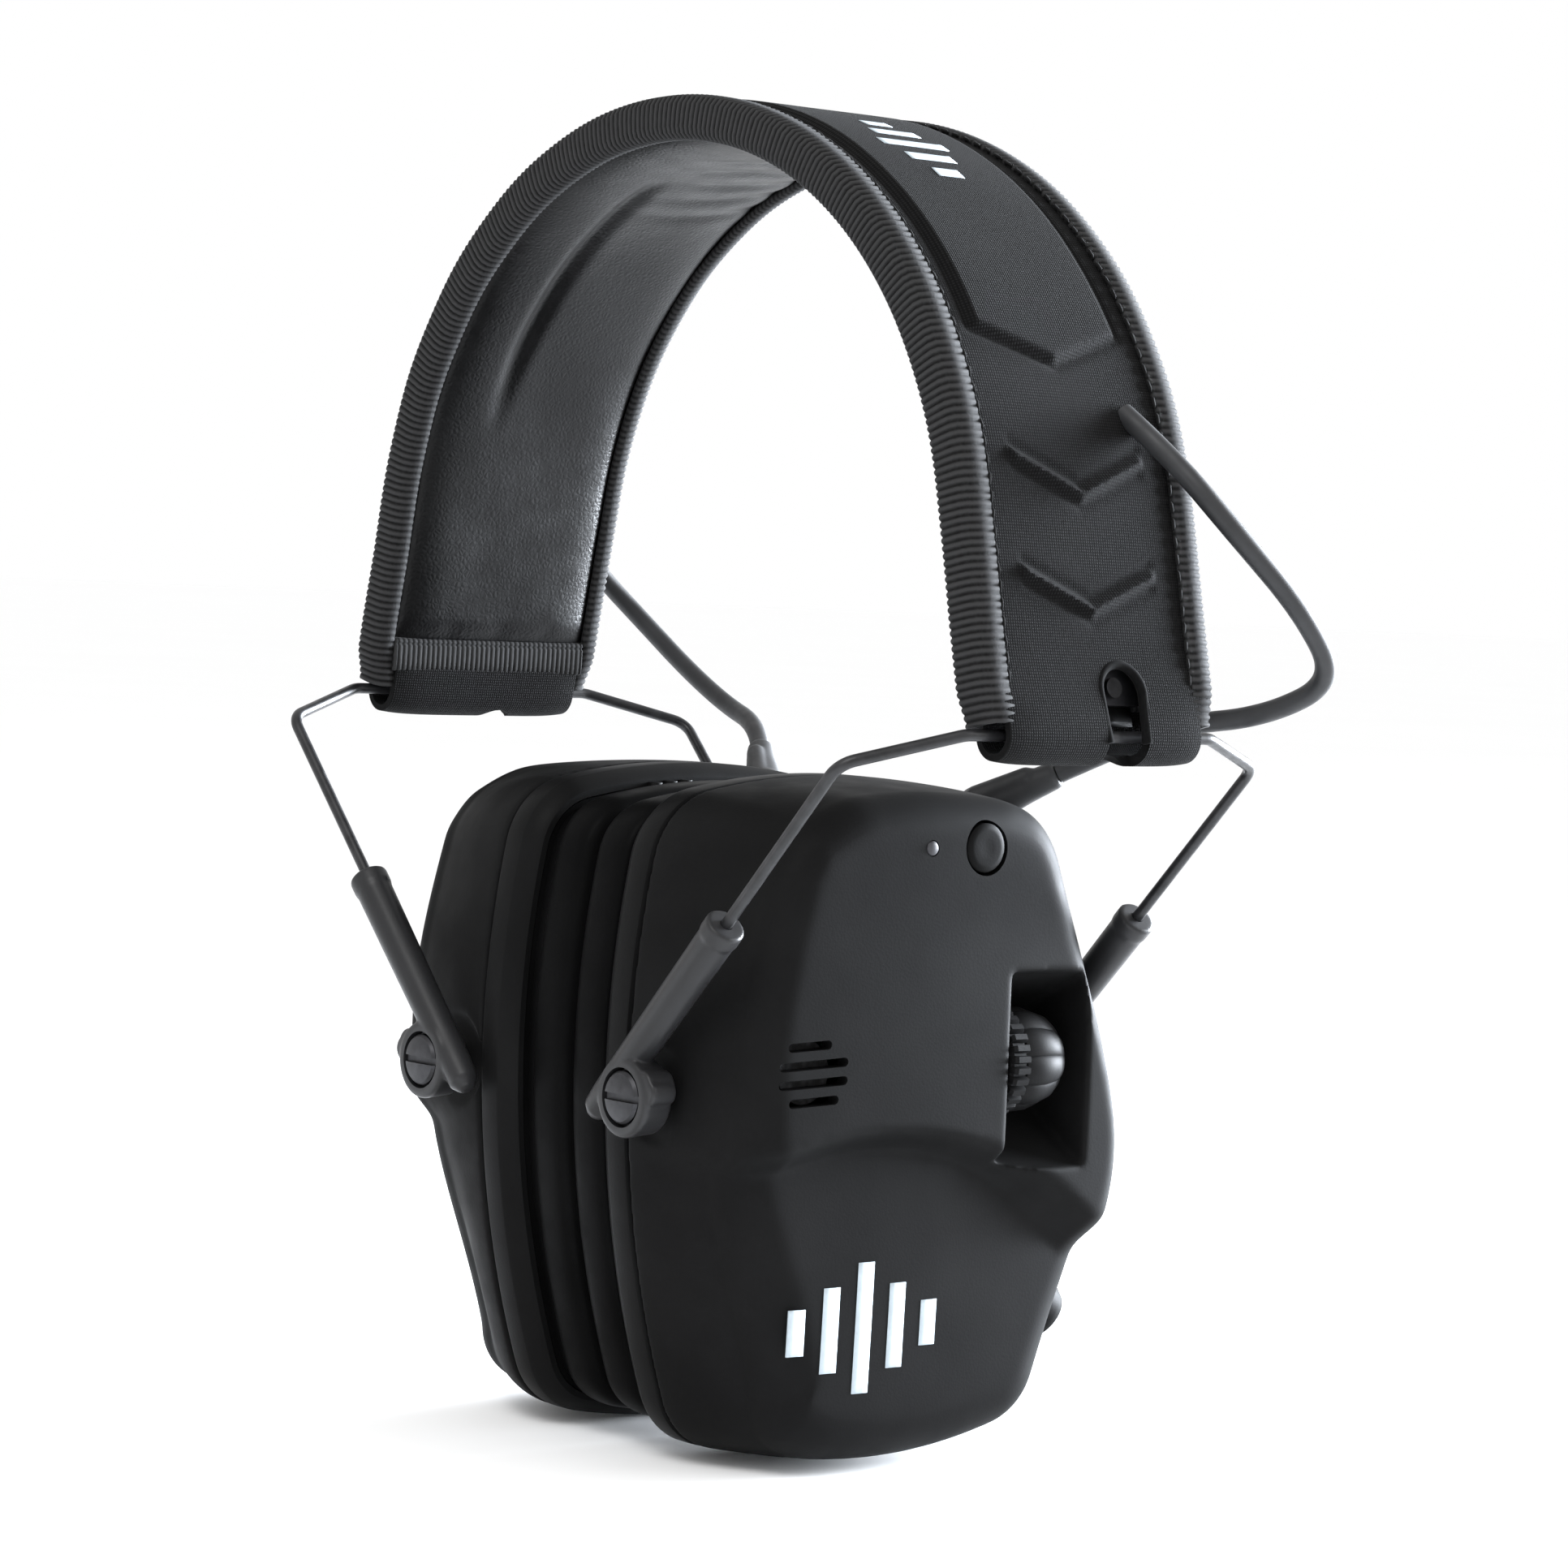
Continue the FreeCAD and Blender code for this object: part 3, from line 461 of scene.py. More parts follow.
PLASTIC_GREY = (0.015, 0.015, 0.016)
MATERIALS = {
    "knit_fabric": make_knit(),
    "grosgrain": make_grosgrain(),
    "leatherette": make_leatherette(),
    "cushion_skin": make_cushion_skin(),
    "shell_plastic": moulded("shell_plastic", (0.0068, 0.0068, 0.0069), 0.50, 0.62, gloss=0.03),
    "rim_plastic": moulded("rim_plastic", (0.0060, 0.0060, 0.0061), 0.38, 0.48, gloss=0.04),
    "arm_plastic": moulded("arm_plastic", PLASTIC_GREY, 0.34, 0.46, 1800, 0.12, gloss=0.25),
    "knob_plastic": moulded("knob_plastic", (0.0085, 0.0085, 0.0088), 0.50, 0.62, gloss=0.06),
    "inner_plastic": moulded("inner_plastic", (0.05, 0.05, 0.05), 0.5, 0.65),
    "black_wire": make_wire(),
    "dark_rubber": make_rubber("dark_rubber", (0.022, 0.0225, 0.024)),
    "lead_rubber": make_rubber("lead_rubber", (0.03, 0.03, 0.03)),
    "spring_steel": make_metal("spring_steel", (0.02, 0.02, 0.022), 0.55),
    "screw_steel": make_metal("screw_steel", (0.045, 0.045, 0.048), 0.42),
    "rivet_metal": make_metal("rivet_metal", (0.02, 0.02, 0.021), 0.6),
    "speaker_metal": make_metal("speaker_metal", (0.2, 0.2, 0.2), 0.45),
    "battery_skin": moulded("battery_skin", (0.12, 0.15, 0.19), 0.35, 0.45),
    "foam": make_foam(),
    "board": make_board(),
    "light_lens": make_lens(),
    "printed_mark": make_print(),
}


def paint(piece, finish):
    """Gives every face of a piece one finish."""
    piece.data.materials.clear()
    piece.data.materials.append(MATERIALS[finish])
    piece.data.polygons.foreach_set("material_index", [0] * len(piece.data.polygons))


# ---------------------------------------------------------------- camera and cables first

VIEW_TURN, VIEW_RISE, VIEW_ROLL = math.radians(51.2), math.radians(6.1), math.radians(2.33)
VIEW_DISTANCE = 712.0
VIEW_FOCUS = 5511.0 / 1932                     # focal length over the frame's width
VIEW_OFF = (54.0 / 1932, 350.0 / 1932)         # frame's middle from the pivots' middle


def add_camera():
    turn, rise, roll = VIEW_TURN, VIEW_RISE, VIEW_ROLL
    level = math.cos(rise)
    back = Vector((math.sin(turn) * level, -math.cos(turn) * level, math.sin(rise)))
    right = Vector((math.cos(turn), math.sin(turn), 0))
    up = back.cross(right)
    right, up = (right * math.cos(roll) + up * math.sin(roll),
                 up * math.cos(roll) - right * math.sin(roll))
    spot = Vector(put([back * VIEW_DISTANCE])[0])
    look = (-back + right * VIEW_OFF[0] / VIEW_FOCUS + up * VIEW_OFF[1] / VIEW_FOCUS).normalized()
    side = look.cross(up).normalized()
    above = side.cross(look)
    data = bpy.data.cameras.new("camera")
    data.sensor_width = 36
    data.lens = 36 * VIEW_FOCUS
    camera = bpy.data.objects.new("camera", data)
    camera.matrix_world = Matrix((
        (side.x, above.x, -look.x, spot.x),
        (side.y, above.y, -look.y, spot.y),
        (side.z, above.z, -look.z, spot.z),
        (0, 0, 0, 1),
    ))
    bpy.context.scene.collection.objects.link(camera)
    bpy.context.scene.camera = camera


BOOT_START = np.array([27.0, 24.5, 43.0])
BOOT_WAY = np.array([0.74, 0.50, 0.45]) / np.linalg.norm([0.74, 0.50, 0.45])
BOOT_LENGTH = 14.0
CABLE = 3.2                                    # diameter


def cable_route(side):
    """Control points of a cable, from the strap's cover to the tip of the boot."""
    tip = BOOT_START + BOOT_WAY * BOOT_LENGTH
    end = [tuple(tip + BOOT_WAY * 8.0), tuple(tip)]
    if side > 0:
        return [(68.9, 12.0, 104.2), (78.5, 13.5, 97.5), (86.0, 19.5, 87.0), (89.5, 30.5, 76.0),
                (87.0, 41.0, 66.0), (74.0, 39.5, 60.0), (60.0, 34.5, 58.0)] + end
    route = [(-68.9, 12.0, 104.2), (-78.0, 15.5, 95.5), (-84.0, 22.0, 86.5), (-84.0, 31.0, 77.5),
             (-78.5, 37.0, 69.5), (-68.5, 39.5, 61.5), (-56.5, 39.0, 55.8)]
    return route + [(-x, y, z) for x, y, z in end]


def spline_points(control):
    """Points along the smooth NURBS line of a route."""
    data = bpy.data.curves.new("route", "CURVE")
    data.dimensions = "3D"
    data.resolution_u = 24
    line = data.splines.new("NURBS")
    line.points.add(len(control) - 1)
    for point, place in zip(line.points, put(control)):
        point.co = (*place, 1)
    line.order_u = 3
    line.use_endpoint_u = True
    carrier = bpy.data.objects.new("route", data)
    mesh = bpy.data.meshes.new_from_object(carrier)
    places = np.array([vertex.co for vertex in mesh.vertices])
    bpy.data.objects.remove(carrier)
    return places


def tube_rings(places, radius, around=24):
    """Rings round points in metres, turned as little as possible from one to the next."""
    places = np.array(places)
    ways = np.gradient(places, axis=0)
    ways /= np.linalg.norm(ways, axis=1)[:, None]
    side = np.cross(ways[0], (0, 0, 1))
    angles = np.linspace(0, 2 * math.pi, around, endpoint=False)
    rings = []
    for place, way in zip(places, ways):
        side = side - way * (side @ way)
        side /= np.linalg.norm(side)
        other = np.cross(way, side)
        ring = place + radius * (np.outer(np.cos(angles), side) + np.outer(np.sin(angles), other))
        rings.append(ring / MM + np.array([0, 0, CROWN]))
    return rings


# each stretch's first point, where it starts to bend, and its last point, of those along the cable
CABLE_POINTS = 181
CABLE_CUTS = ((0, 55, 104), (104, 104, 122), (122, 122, CABLE_POINTS - 1))


def add_cable(name, side):
    """Three stretches end to end along the cable's route."""
    places = spline_points(cable_route(side))
    steps = np.linalg.norm(np.diff(places, axis=0), axis=1)
    reach = np.concatenate([[0], np.cumsum(steps)])
    marks = np.linspace(0, reach[-1], CABLE_POINTS)
    line = np.column_stack([np.interp(marks, reach, places[:, k]) for k in range(3)])
    rings = tube_rings(line, CABLE / 2 * MM)
    pieces = []
    for i, (first, turn, last) in enumerate(CABLE_CUTS):
        part = slice(first, last + 1)
        piece = capped(rings[part], f"cable_{name}_{i + 1}", MATERIALS["dark_rubber"])
        sharp_edges(piece, 60)
        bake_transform(piece)
        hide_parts(f"cable_{name}")
        pieces.append(piece)
    for i, joined in ((0, [pieces[1]]), (2, [])):
        first, _, last = CABLE_CUTS[i]


add_camera()
for name, side in SIDES:
    add_cable(name, side)


# ---------------------------------------------------------------- headband

def strap_place(station, y, offset):
    """As band_point, but past the wire bar the strap rolls round it and up the inner side."""
    extra = abs(station) - BAR_STATION
    if extra <= 0:
        return band_point(station, y, offset)
    sign = math.copysign(1, station)
    if extra > ROLL * math.pi:
        return band_point(sign * (BAR_STATION - extra + ROLL * math.pi), y, -offset)
    angle = extra / ROLL
    base, out, down = (np.array(band_point(sign * along, y, lift)) for along, lift in
                       ((BAR_STATION, 0), (BAR_STATION, 1), (BAR_STATION + 1, 0)))
    spot = base + ((out - base) * math.cos(angle) + (down - base) * math.sin(angle)) * offset
    return tuple(spot)


ROLL_STOP = BAR_STATION + ROLL * math.pi + 4.6
CHEVRONS = (98.0, 115.0)                       # stations of the two small embossed chevrons
PANEL_TIP = 78.0
PANEL_HALF = 14.0


def embossing(station, y):
    """Height of the raised panel and chevrons on the outer face."""
    along, across = abs(station), abs(y)
    rise = 0.0
    edge = PANEL_TIP - across * 0.35
    inside = min(edge - along, PANEL_HALF - across)
    rise += 0.75 * ramp(inside, -0.4, 0.7)
    rise -= 0.45 * math.exp(-((inside + 0.9) / 0.55) ** 2)
    for tip in CHEVRONS:
        if across < 13.5:
            line = along - (tip - across * 0.42)
            fade = ramp(13.5 - across, 0, 1.0)
            rise += 0.85 * fade * math.exp(-(line / 0.8) ** 2)
            rise -= 0.30 * fade * math.exp(-((abs(line) - 1.7) / 0.7) ** 2)
    return rise


def cover_offset(station):
    return COVER_FACE + (ROLL - COVER_FACE) * ramp(abs(station), BAR_STATION - 14, BAR_STATION)


def cover_half(station):
    return 22.2 - 3.4 * ramp(abs(station), BAR_STATION - 7, BAR_STATION - 2.0)


def sample_noise(station, y, scale, seed):
    """Smooth waves that stand for uneven cloth, the same on each run."""
    chance = random.Random(seed)
    total = 0.0
    for _ in range(4):
        a, b, c = (chance.uniform(-1, 1) for _ in range(3))
        total += math.sin(station * a * scale + y * b * scale + 6.3 * c)
    return total / 4


def slot_arch(radius, steps):
    """Rounded upper end of the keyhole, from its front side to its back side."""
    angles = [math.pi * i / steps for i in range(steps + 1)]
    return [(SLOT_TOP - radius * math.sin(a), SLOT_Y - radius * math.cos(a)) for a in angles]


def add_cover():
    stations = np.arange(-ROLL_STOP, ROLL_STOP + 0.3, 0.6)
    shares = np.linspace(-1, 1, 81)
    outer, inner, uv = [], [], []
    for station in stations:
        half = cover_half(station)
        face = cover_offset(station)
        depth = 1.25 + 1.4 * ramp(abs(station), BAR_STATION - 14, BAR_STATION)
        for share in shares:
            y = share * half
            soft = 0.10 * sample_noise(station, y, 0.22, 3) - 0.5 * abs(share) ** 6
            outer.append(strap_place(station, y, face + embossing(station, y) + soft))
            inner.append(strap_place(station, y, depth))
            uv.append((station / 10, y / 10))
    cover = new_object("strap_cover", outer + inner, slab(len(stations), len(shares)),
                       MATERIALS["knit_fabric"], uv + uv)
    cutters = []
    for _, side in SIDES:
        points = slot_arch(4.2, 16)
        points += [(BAR_STATION + 12, SLOT_Y + SLOT_HALF), (BAR_STATION + 12, SLOT_Y - SLOT_HALF)]
        rings = [[band_point(side * along, y, offset) for along, y in points]
                 for offset in (-1.0, 9.0)]
        cutters.append(capped(rings, "slot_cutter"))
        notch = [(BAR_STATION + ROLL + 1.2 + 2.9 * math.cos(a), SLOT_Y + 3.3 * math.sin(a))
                 for a in np.linspace(0, 2 * math.pi, 24, endpoint=False)]
        rings = [[band_point(side * along, y, offset) for along, y in notch]
                 for offset in (-7.0, 0.5)]
        cutters.append(capped(rings, "notch_cutter"))
    boolean(cover, cutters)
    sharp_edges(cover, 50)
    settle(cover, "headband", "knit_fabric", "band_cover", "end_sleeve_left", "end_sleeve_right")
    for name, side in SIDES:
        rim = [(BAR_STATION + 1.5, SLOT_Y - SLOT_HALF), *slot_arch(4.3, 24),
               (BAR_STATION + 1.5, SLOT_Y + SLOT_HALF)]
        places = [band_point(side * along, y, cover_offset(along) - 0.55) for along, y in rim]
        welt = capped(tube_rings(put(places), 0.75 * MM, 10), f"slot_welt_{name}",
                      MATERIALS["knit_fabric"])
        settle(welt, "headband", "knit_fabric")
        section = ((-4.8, -0.9), (4.8, -0.9), (4.8, -0.2), (-4.8, -0.2))
        rings = [[band_point(side * along, SLOT_Y + y, offset) for y, offset in section]
                 for along in np.linspace(BAR_STATION - 11.5, BAR_STATION - 1.6, 12)]
        liner = capped(rings, f"slot_liner_{name}", MATERIALS["cushion_skin"])
        settle(liner, "headband", "leatherette")


def add_bindings():
    """Ribbed tape folded round each long edge of the strap."""
    half = HALF_BAND
    section = [(half - 4.9, 2.95), (half - 4.8, 3.45), (half - 2.5, 3.5), (half - 0.7, 3.1),
               (half - 0.05, 2.2), (half + 0.1, 0.5), (half + 0.1, -1.4), (half - 0.2, -2.4),
               (half - 1.0, -2.95), (half - 2.2, -3.1), (half - 3.2, -3.0), (half - 3.3, -2.6)]
    back = [(half - 3.2, -2.2), (half - 1.6, -2.2), (half - 0.9, -1.2), (half - 0.9, 1.5),
            (half - 1.4, 2.6), (half - 4.7, 2.6)]
    end = BAR_STATION - 1.2
    stations = np.arange(-end, end, 0.16)
    for name, side in (("front", -1), ("back", 1)):
        rings, uv = [], []
        for station in stations:
            phase = (abs(station) / RIB_PITCH) % 1.0
            rib = 0.46 * (1 - abs(2 * phase - 1) ** 2.2) - 0.18
            drift = 0.12 * sample_noise(station, 5 * side, 0.5, 11)
            narrow = 1.2 * ramp(abs(station), end - 6, end)
            ring = []
            for k, (y, offset) in enumerate(section):
                wave = rib if 0 < k < len(section) - 1 else rib * 0.2
                swing = (math.copysign(wave, offset) if abs(offset) > 2.8 else 0.0)
                push = wave if abs(offset) <= 2.8 else wave * 0.3
                ring.append(band_point(station, side * (y + push + drift - narrow), offset + swing))
            for y, offset in back:
                ring.append(band_point(station, side * (y + drift - narrow), offset))
            rings.append(ring)
            uv += [(station / 10, k / 10) for k in range(len(ring))]
        piece = capped(rings, f"edge_binding_{name}", MATERIALS["grosgrain"], uv)
        settle(piece, "headband", "grosgrain", f"binding_{name}")
        add_stitches(f"edge_stitches_{name}", side * (half - 5.15), 3.28, side)


def add_stitches(name, y, offset, seed):
    """A row of short raised threads beside the binding."""
    chance = random.Random(40 + seed)
    points, faces = [], []
    for station in np.arange(-BAR_STATION + 6, BAR_STATION - 6, 2.6):
        lean = chance.uniform(-0.15, 0.15)
        base = len(points)
        for k, (along, wide) in enumerate(((-0.95, 0.10), (-0.5, 0.26), (0.5, 0.26), (0.95, 0.10))):
            for i in range(6):
                angle = math.pi * 2 * i / 6
                lift = 0.26 - 0.18 * abs(along)
                points.append(band_point(station + along, y + lean * along + wide * math.cos(angle),
                                         offset + lift + wide * math.sin(angle)))
        for k in range(3):
            for i in range(6):
                a, b = base + k * 6 + i, base + k * 6 + (i + 1) % 6
                faces.append((a, b, b + 6, a + 6))
        faces += [tuple(base + i for i in range(6)), tuple(base + 18 + i for i in range(6))]
    settle(new_object(name, points, faces, MATERIALS["grosgrain"]), "headband", "grosgrain")


FOLDS = (9.0, 15.0, 20.5, 27.0, 33.0)          # how far from the crown the pad's short creases lie


def add_pad():
    """Bulged leatherette pad on the inner face, with a long fold and short creases."""
    end = BAR_STATION - 8.2
    stations = np.linspace(-end, end, 331)
    shares = np.linspace(-1, 1, 61)
    half = HALF_BAND - 3.3
    inner, uv = [], []
    for station in stations:
        for share in shares:
            y = share * half
            bulge = 2.0 * (1 - abs(share) ** 5) ** 0.62
            close = ramp(end - abs(station), 0, 5)
            away = abs(station)
            fold = math.exp(-((y + 6.5 + 0.03 * (away - 40)) / 1.7) ** 2)
            crease = 1.0 * fold * ramp(away, 20, 32) * ramp(90 - away, 0, 22)
            for place in FOLDS:
                shift = away - place - 2.2 * math.sin(y / 8 + place)
                crease += 0.34 * math.exp(-(shift / 1.7) ** 2) * ramp(y, -12, 4 + 0.2 * place)
            for dent in (-9.0, 1.0, 11.0):
                crease += 0.5 * math.exp(-((y - dent) / 2.0) ** 2) * ramp(6 - (end - away), 0, 6)
            soft = 0.20 * sample_noise(station, y, 0.30, 21)
            offset = -1.95 - (bulge + soft) * (0.35 + 0.65 * close) + crease * close
            inner.append(band_point(station, y, offset))
            uv.append((station / 10, y / 10))
    outer = [band_point(station, share * half, 0.0) for station in stations for share in shares]
    pad = new_object("inner_pad", inner + outer, slab(len(stations), len(shares)),
                     MATERIALS["leatherette"], uv + uv)
    settle(pad, "headband", "leatherette", "band_pad", padded=0.5)


def add_end_strips():
    """Ribbed tape across each lower end of the pad, with its seam."""
    for name, side in SIDES:
        rings, uv = [], []
        half = HALF_BAND - 3.6
        for y in np.arange(-half, half + 0.1, 0.2):
            phase = (y / 1.0) % 1.0
            rib = 0.20 * (1 - abs(2 * phase - 1) ** 2.4)
            top, low = BAR_STATION - 9.6, BAR_STATION - 4.4
            section = ((top, -2.3), (top + 0.15, -3.0 - rib), (top + 0.6, -3.35 - rib * 0.3),
                       (top + 0.9, -3.1 - rib * 0.3), (top + 1.2, -3.4 - rib),
                       (low - 1.0, -3.9 - rib), (low, -4.0 - rib), (low + 0.4, -3.4),
                       (low, -2.2), (top + 1, -1.9))
            rings.append([band_point(side * along, y, offset) for along, offset in section])
            uv += [(y * RIB_PITCH / 10, along / 10) for along, _ in section]
        strip = capped(rings, f"pad_end_{name}", MATERIALS["grosgrain"], uv)
        settle(strip, "headband", "grosgrain", f"end_strip_{name}")


add_cover()
add_bindings()
add_pad()
add_end_strips()


# ---------------------------------------------------------------- cup outline

CUP_TOP, TOP_ARC = 47.8, 118.0


def half_arcs(widest):
    """Tangent arcs from the bottom to the top of one long side of the cup."""
    half_width, bottom = 37.2, 57.5
    side_arc, bottom_arc, upper, lower = 156.0, 100.0, 13.0, 12.0
    side = Vector((half_width - side_arc, widest))
    crown = Vector((0, CUP_TOP - TOP_ARC))
    base = Vector((0, bottom_arc - bottom))

    def corner(first, first_radius, second, second_radius):
        gap = second - first
        along = (first_radius**2 - second_radius**2 + gap.length_squared) / (2 * gap.length)
        across = math.sqrt(first_radius**2 - along**2)
        unit = gap.normalized()
        return max((first + unit * along + Vector((-unit.y, unit.x)) * across * sign
                    for sign in (1, -1)), key=lambda point: point.x)

    def angle(centre, point):
        return math.atan2(point.y - centre.y, point.x - centre.x)

    high = corner(side, side_arc - upper, crown, TOP_ARC - upper)
    low = corner(side, side_arc - lower, base, bottom_arc - lower)
    turns = [angle(base, low), angle(side, low), angle(side, high), angle(crown, high)]
    return [(base, bottom_arc, -math.pi / 2, turns[0]), (low, lower, turns[0], turns[1]),
            (side, side_arc, turns[1], turns[2]), (high, upper, turns[2], turns[3]),
            (crown, TOP_ARC, turns[3], math.pi / 2)]


def cup_arcs():
    """The outline's arcs in Y and Z: centre, radius, first and last angle."""
    front = [(Vector((-c.x, c.y)), r, math.pi - stop, math.pi - start)
             for c, r, start, stop in reversed(half_arcs(FRONT_WIDEST))]
    return half_arcs(BACK_WIDEST) + front


def cup_outline(count):
    """Evenly spaced points and outward normals round the outline."""
    points, normals, reach = [], [], [0.0]
    for centre, radius, start, stop in cup_arcs():
        for angle in np.linspace(start, stop, 90):
            way = np.array([math.cos(angle), math.sin(angle)])
            point = np.array(centre) + radius * way
            if points:
                reach.append(reach[-1] + np.linalg.norm(point - points[-1]))
            points.append(point)
            normals.append(way)
    marks = np.linspace(0, reach[-1], count, endpoint=False)
    points, normals = np.array(points), np.array(normals)
    points = np.column_stack([np.interp(marks, reach, points[:, k]) for k in (0, 1)])
    normals = np.column_stack([np.interp(marks, reach, normals[:, k]) for k in (0, 1)])
    return points, normals / np.linalg.norm(normals, axis=1)[:, None]


AROUND = 288
OUTLINE, NORMALS = cup_outline(AROUND)


def face_height(y, z):
    """X of the shell's outer face: domed, with the upper part raised behind a soft arched step."""
    above = math.hypot(y + 8, z + 67) - 62
    softness = 3.2 + 1.5 * ramp(y, 5, 34)
    dome = 1.5 * (1 - (y / 40) ** 2 - (z / 62) ** 2)
    return LOWER_X - 0.9 + dome + STEP * ramp(above, -softness, softness * 0.55)


def shell_taper(y, z):
    """How far the shell's wall leans in by the time it reaches the outer face."""
    lean = 1.2 + 2.2 * ramp(z, 6, 42) * ramp(abs(y), 14, 32)
    lean += ramp(-y, 12, 34) * (1.8 + 4.0 * ramp(-z, 6, 48))
    return lean - 4.6 * math.exp(-((z + 13) / 20) ** 2) * ramp(y, 22, 34)


def edge_round(y, z):
    """Radius of the shell's outer edge; it is tighter along the back, beside the recess."""
    tight = math.exp(-((z + 6) / 26) ** 2) * ramp(y, 20, 34)
    return 6.6 + 2.0 * ramp(-z, 0, 30) - 3.8 * tight


def shell_solid(name, inset=0.0, start=SHELL_X):
    """Closed form of the shell, or of its cavity when it is inset all round."""
    rings = []
    ring_at = OUTLINE - NORMALS * inset
    lean = np.array([shell_taper(*p) for p in OUTLINE])[:, None]
    radius = np.array([edge_round(*p) - inset for p in OUTLINE])[:, None]
    top = ring_at - NORMALS * lean
    edge = np.array([face_height(*p) for p in top - NORMALS * radius])[:, None] - inset
    for share in np.linspace(0, 1, 18):
        spots = ring_at - NORMALS * lean * share**1.7
        xs = start + (edge - radius - start) * share
        rings.append(np.hstack([xs, spots]))
    for step in range(1, 10):
        angle = math.pi / 2 * step / 9
        spots = top - NORMALS * radius * (1 - math.cos(angle))
        rings.append(np.hstack([edge - radius * (1 - math.sin(angle)), spots]))
    last = top - NORMALS * radius
    middle = np.array([0.0, -4.0])
    for share in np.linspace(1, 0.004, 70)[1:]:
        spots = middle + (last - middle) * share
        rings.append([(face_height(*spot) - inset, *spot) for spot in spots])
    return capped(rings, name)


def outline_ring(name, profile, material, ripple=None, opening=None):
    """Closed ring round the outline: a loop of (x, inset, share of the way to the opening)."""
    rings = []
    for x, inset, share in profile:
        ring = []
        for i, (point, normal) in enumerate(zip(OUTLINE, NORMALS)):
            spot = point - normal * inset
            if opening is not None:
                spot = spot * (1 - share) + opening[i] * share
            push = ripple(i, share) if ripple else 0.0
            ring.append((x + push, *spot))
        rings.append(ring)
    rings = np.array(rings)
    faces = quads(len(profile), AROUND, wrap_rows=True, wrap_columns=True)
    return new_object(name, rings.reshape(-1, 3), faces, material)


def ear_opening(half_width, half_height):
    """Oval points, each facing its point of the outline."""
    angles = np.arctan2(OUTLINE[:, 1] / half_height, OUTLINE[:, 0] / half_width)
    return np.column_stack([half_width * np.cos(angles), half_height * np.sin(angles)])


# ---------------------------------------------------------------- cups

def box(low, high):
    corners = [(y, z) for y, z in ((low[1], low[2]), (high[1], low[2]),
                                   (high[1], high[2]), (low[1], high[2]))]
    return prism_along(corners, "x", low[0], high[0])


def recess_cutter(grow):
    """Pocket of the knob: ramps above and below, straight walls at front and back."""
    points = [(54, 20.6 + grow), (45.5, 19.0 + grow), (36, 14.4 + grow), (31 - grow, 11),
              (30 - grow, 5), (31 - grow, -1), (36, -4.8 - grow), (45.5, -11.0 - grow),
              (54, -12.6 - grow)]
    return prism_along(points, "y", 14.9 - grow, 31.6 + grow)


def stadium(y, z, half_length, half_height, tilt=0.0):
    points = []
    for centre, start in ((half_length - half_height, -90), (-(half_length - half_height), 90)):
        for step in range(9):
            angle = math.radians(start + 180 * step / 8)
            a = centre + half_height * math.cos(angle)
            b = half_height * math.sin(angle)
            points.append((y + a, z + b + a * tilt))
    return points


def add_shell(name, side):
    shell = shell_solid(f"outer_shell_{name}")
    pockets = [recess_cutter(0)] if side > 0 else []
    for facing in (-1, 1):
        pockets.append(turned([(0, 7.4), (6, 7.4)], (PIVOT_X, facing * 36.0, 0), (0, facing, 0),
                              "boss_flat"))
    if side > 0:
        pockets.append(turned([(-2.6, 6.4), (7, 7.8)], SOCKET_MOUTH, SOCKET_WAY, "socket_flat"))
    boolean(shell, pockets)
    melt(shell, 0.5, 7)
    cavity = shell_solid("cavity", inset=SHELL_WALL, start=SHELL_X - 2)
    if side > 0:
        boolean(cavity, [recess_cutter(1.6)])
    boolean(shell, [cavity])
    cutters = []
    for row, (half, shift) in enumerate(((3.95, -0.9), (6.2, 0.0), (6.2, 0.0), (4.55, 0.1))):
        height = KNOB_Z + (1.5 - row) * 2.75
        cutters.append(prism_along(stadium(-23.7 + shift, height, half, 0.68, 0.05), "x", 38.5, 52))
    if side > 0:
        cutters.append(turned([(0, 4.25), (14, 4.25)], (40, BUTTON_Y, CONTROL_Z), (1, 0, 0),
                              "hole"))
        cutters.append(turned([(0, 1.25), (14, 1.25)], (40, LIGHT_Y, CONTROL_Z), (1, 0, 0),
                              "hole"))
        cutters.append(turned([(-9, 5.45), (4, 5.45)], SOCKET_MOUTH, SOCKET_WAY, "hole"))
    boolean(shell, cutters)
    paint(shell, "shell_plastic")
    sharp_edges(shell, 50)
    mirror_piece(shell, side)
    settle(shell, f"{name}_cup", "shell_plastic", f"{name}_shell")


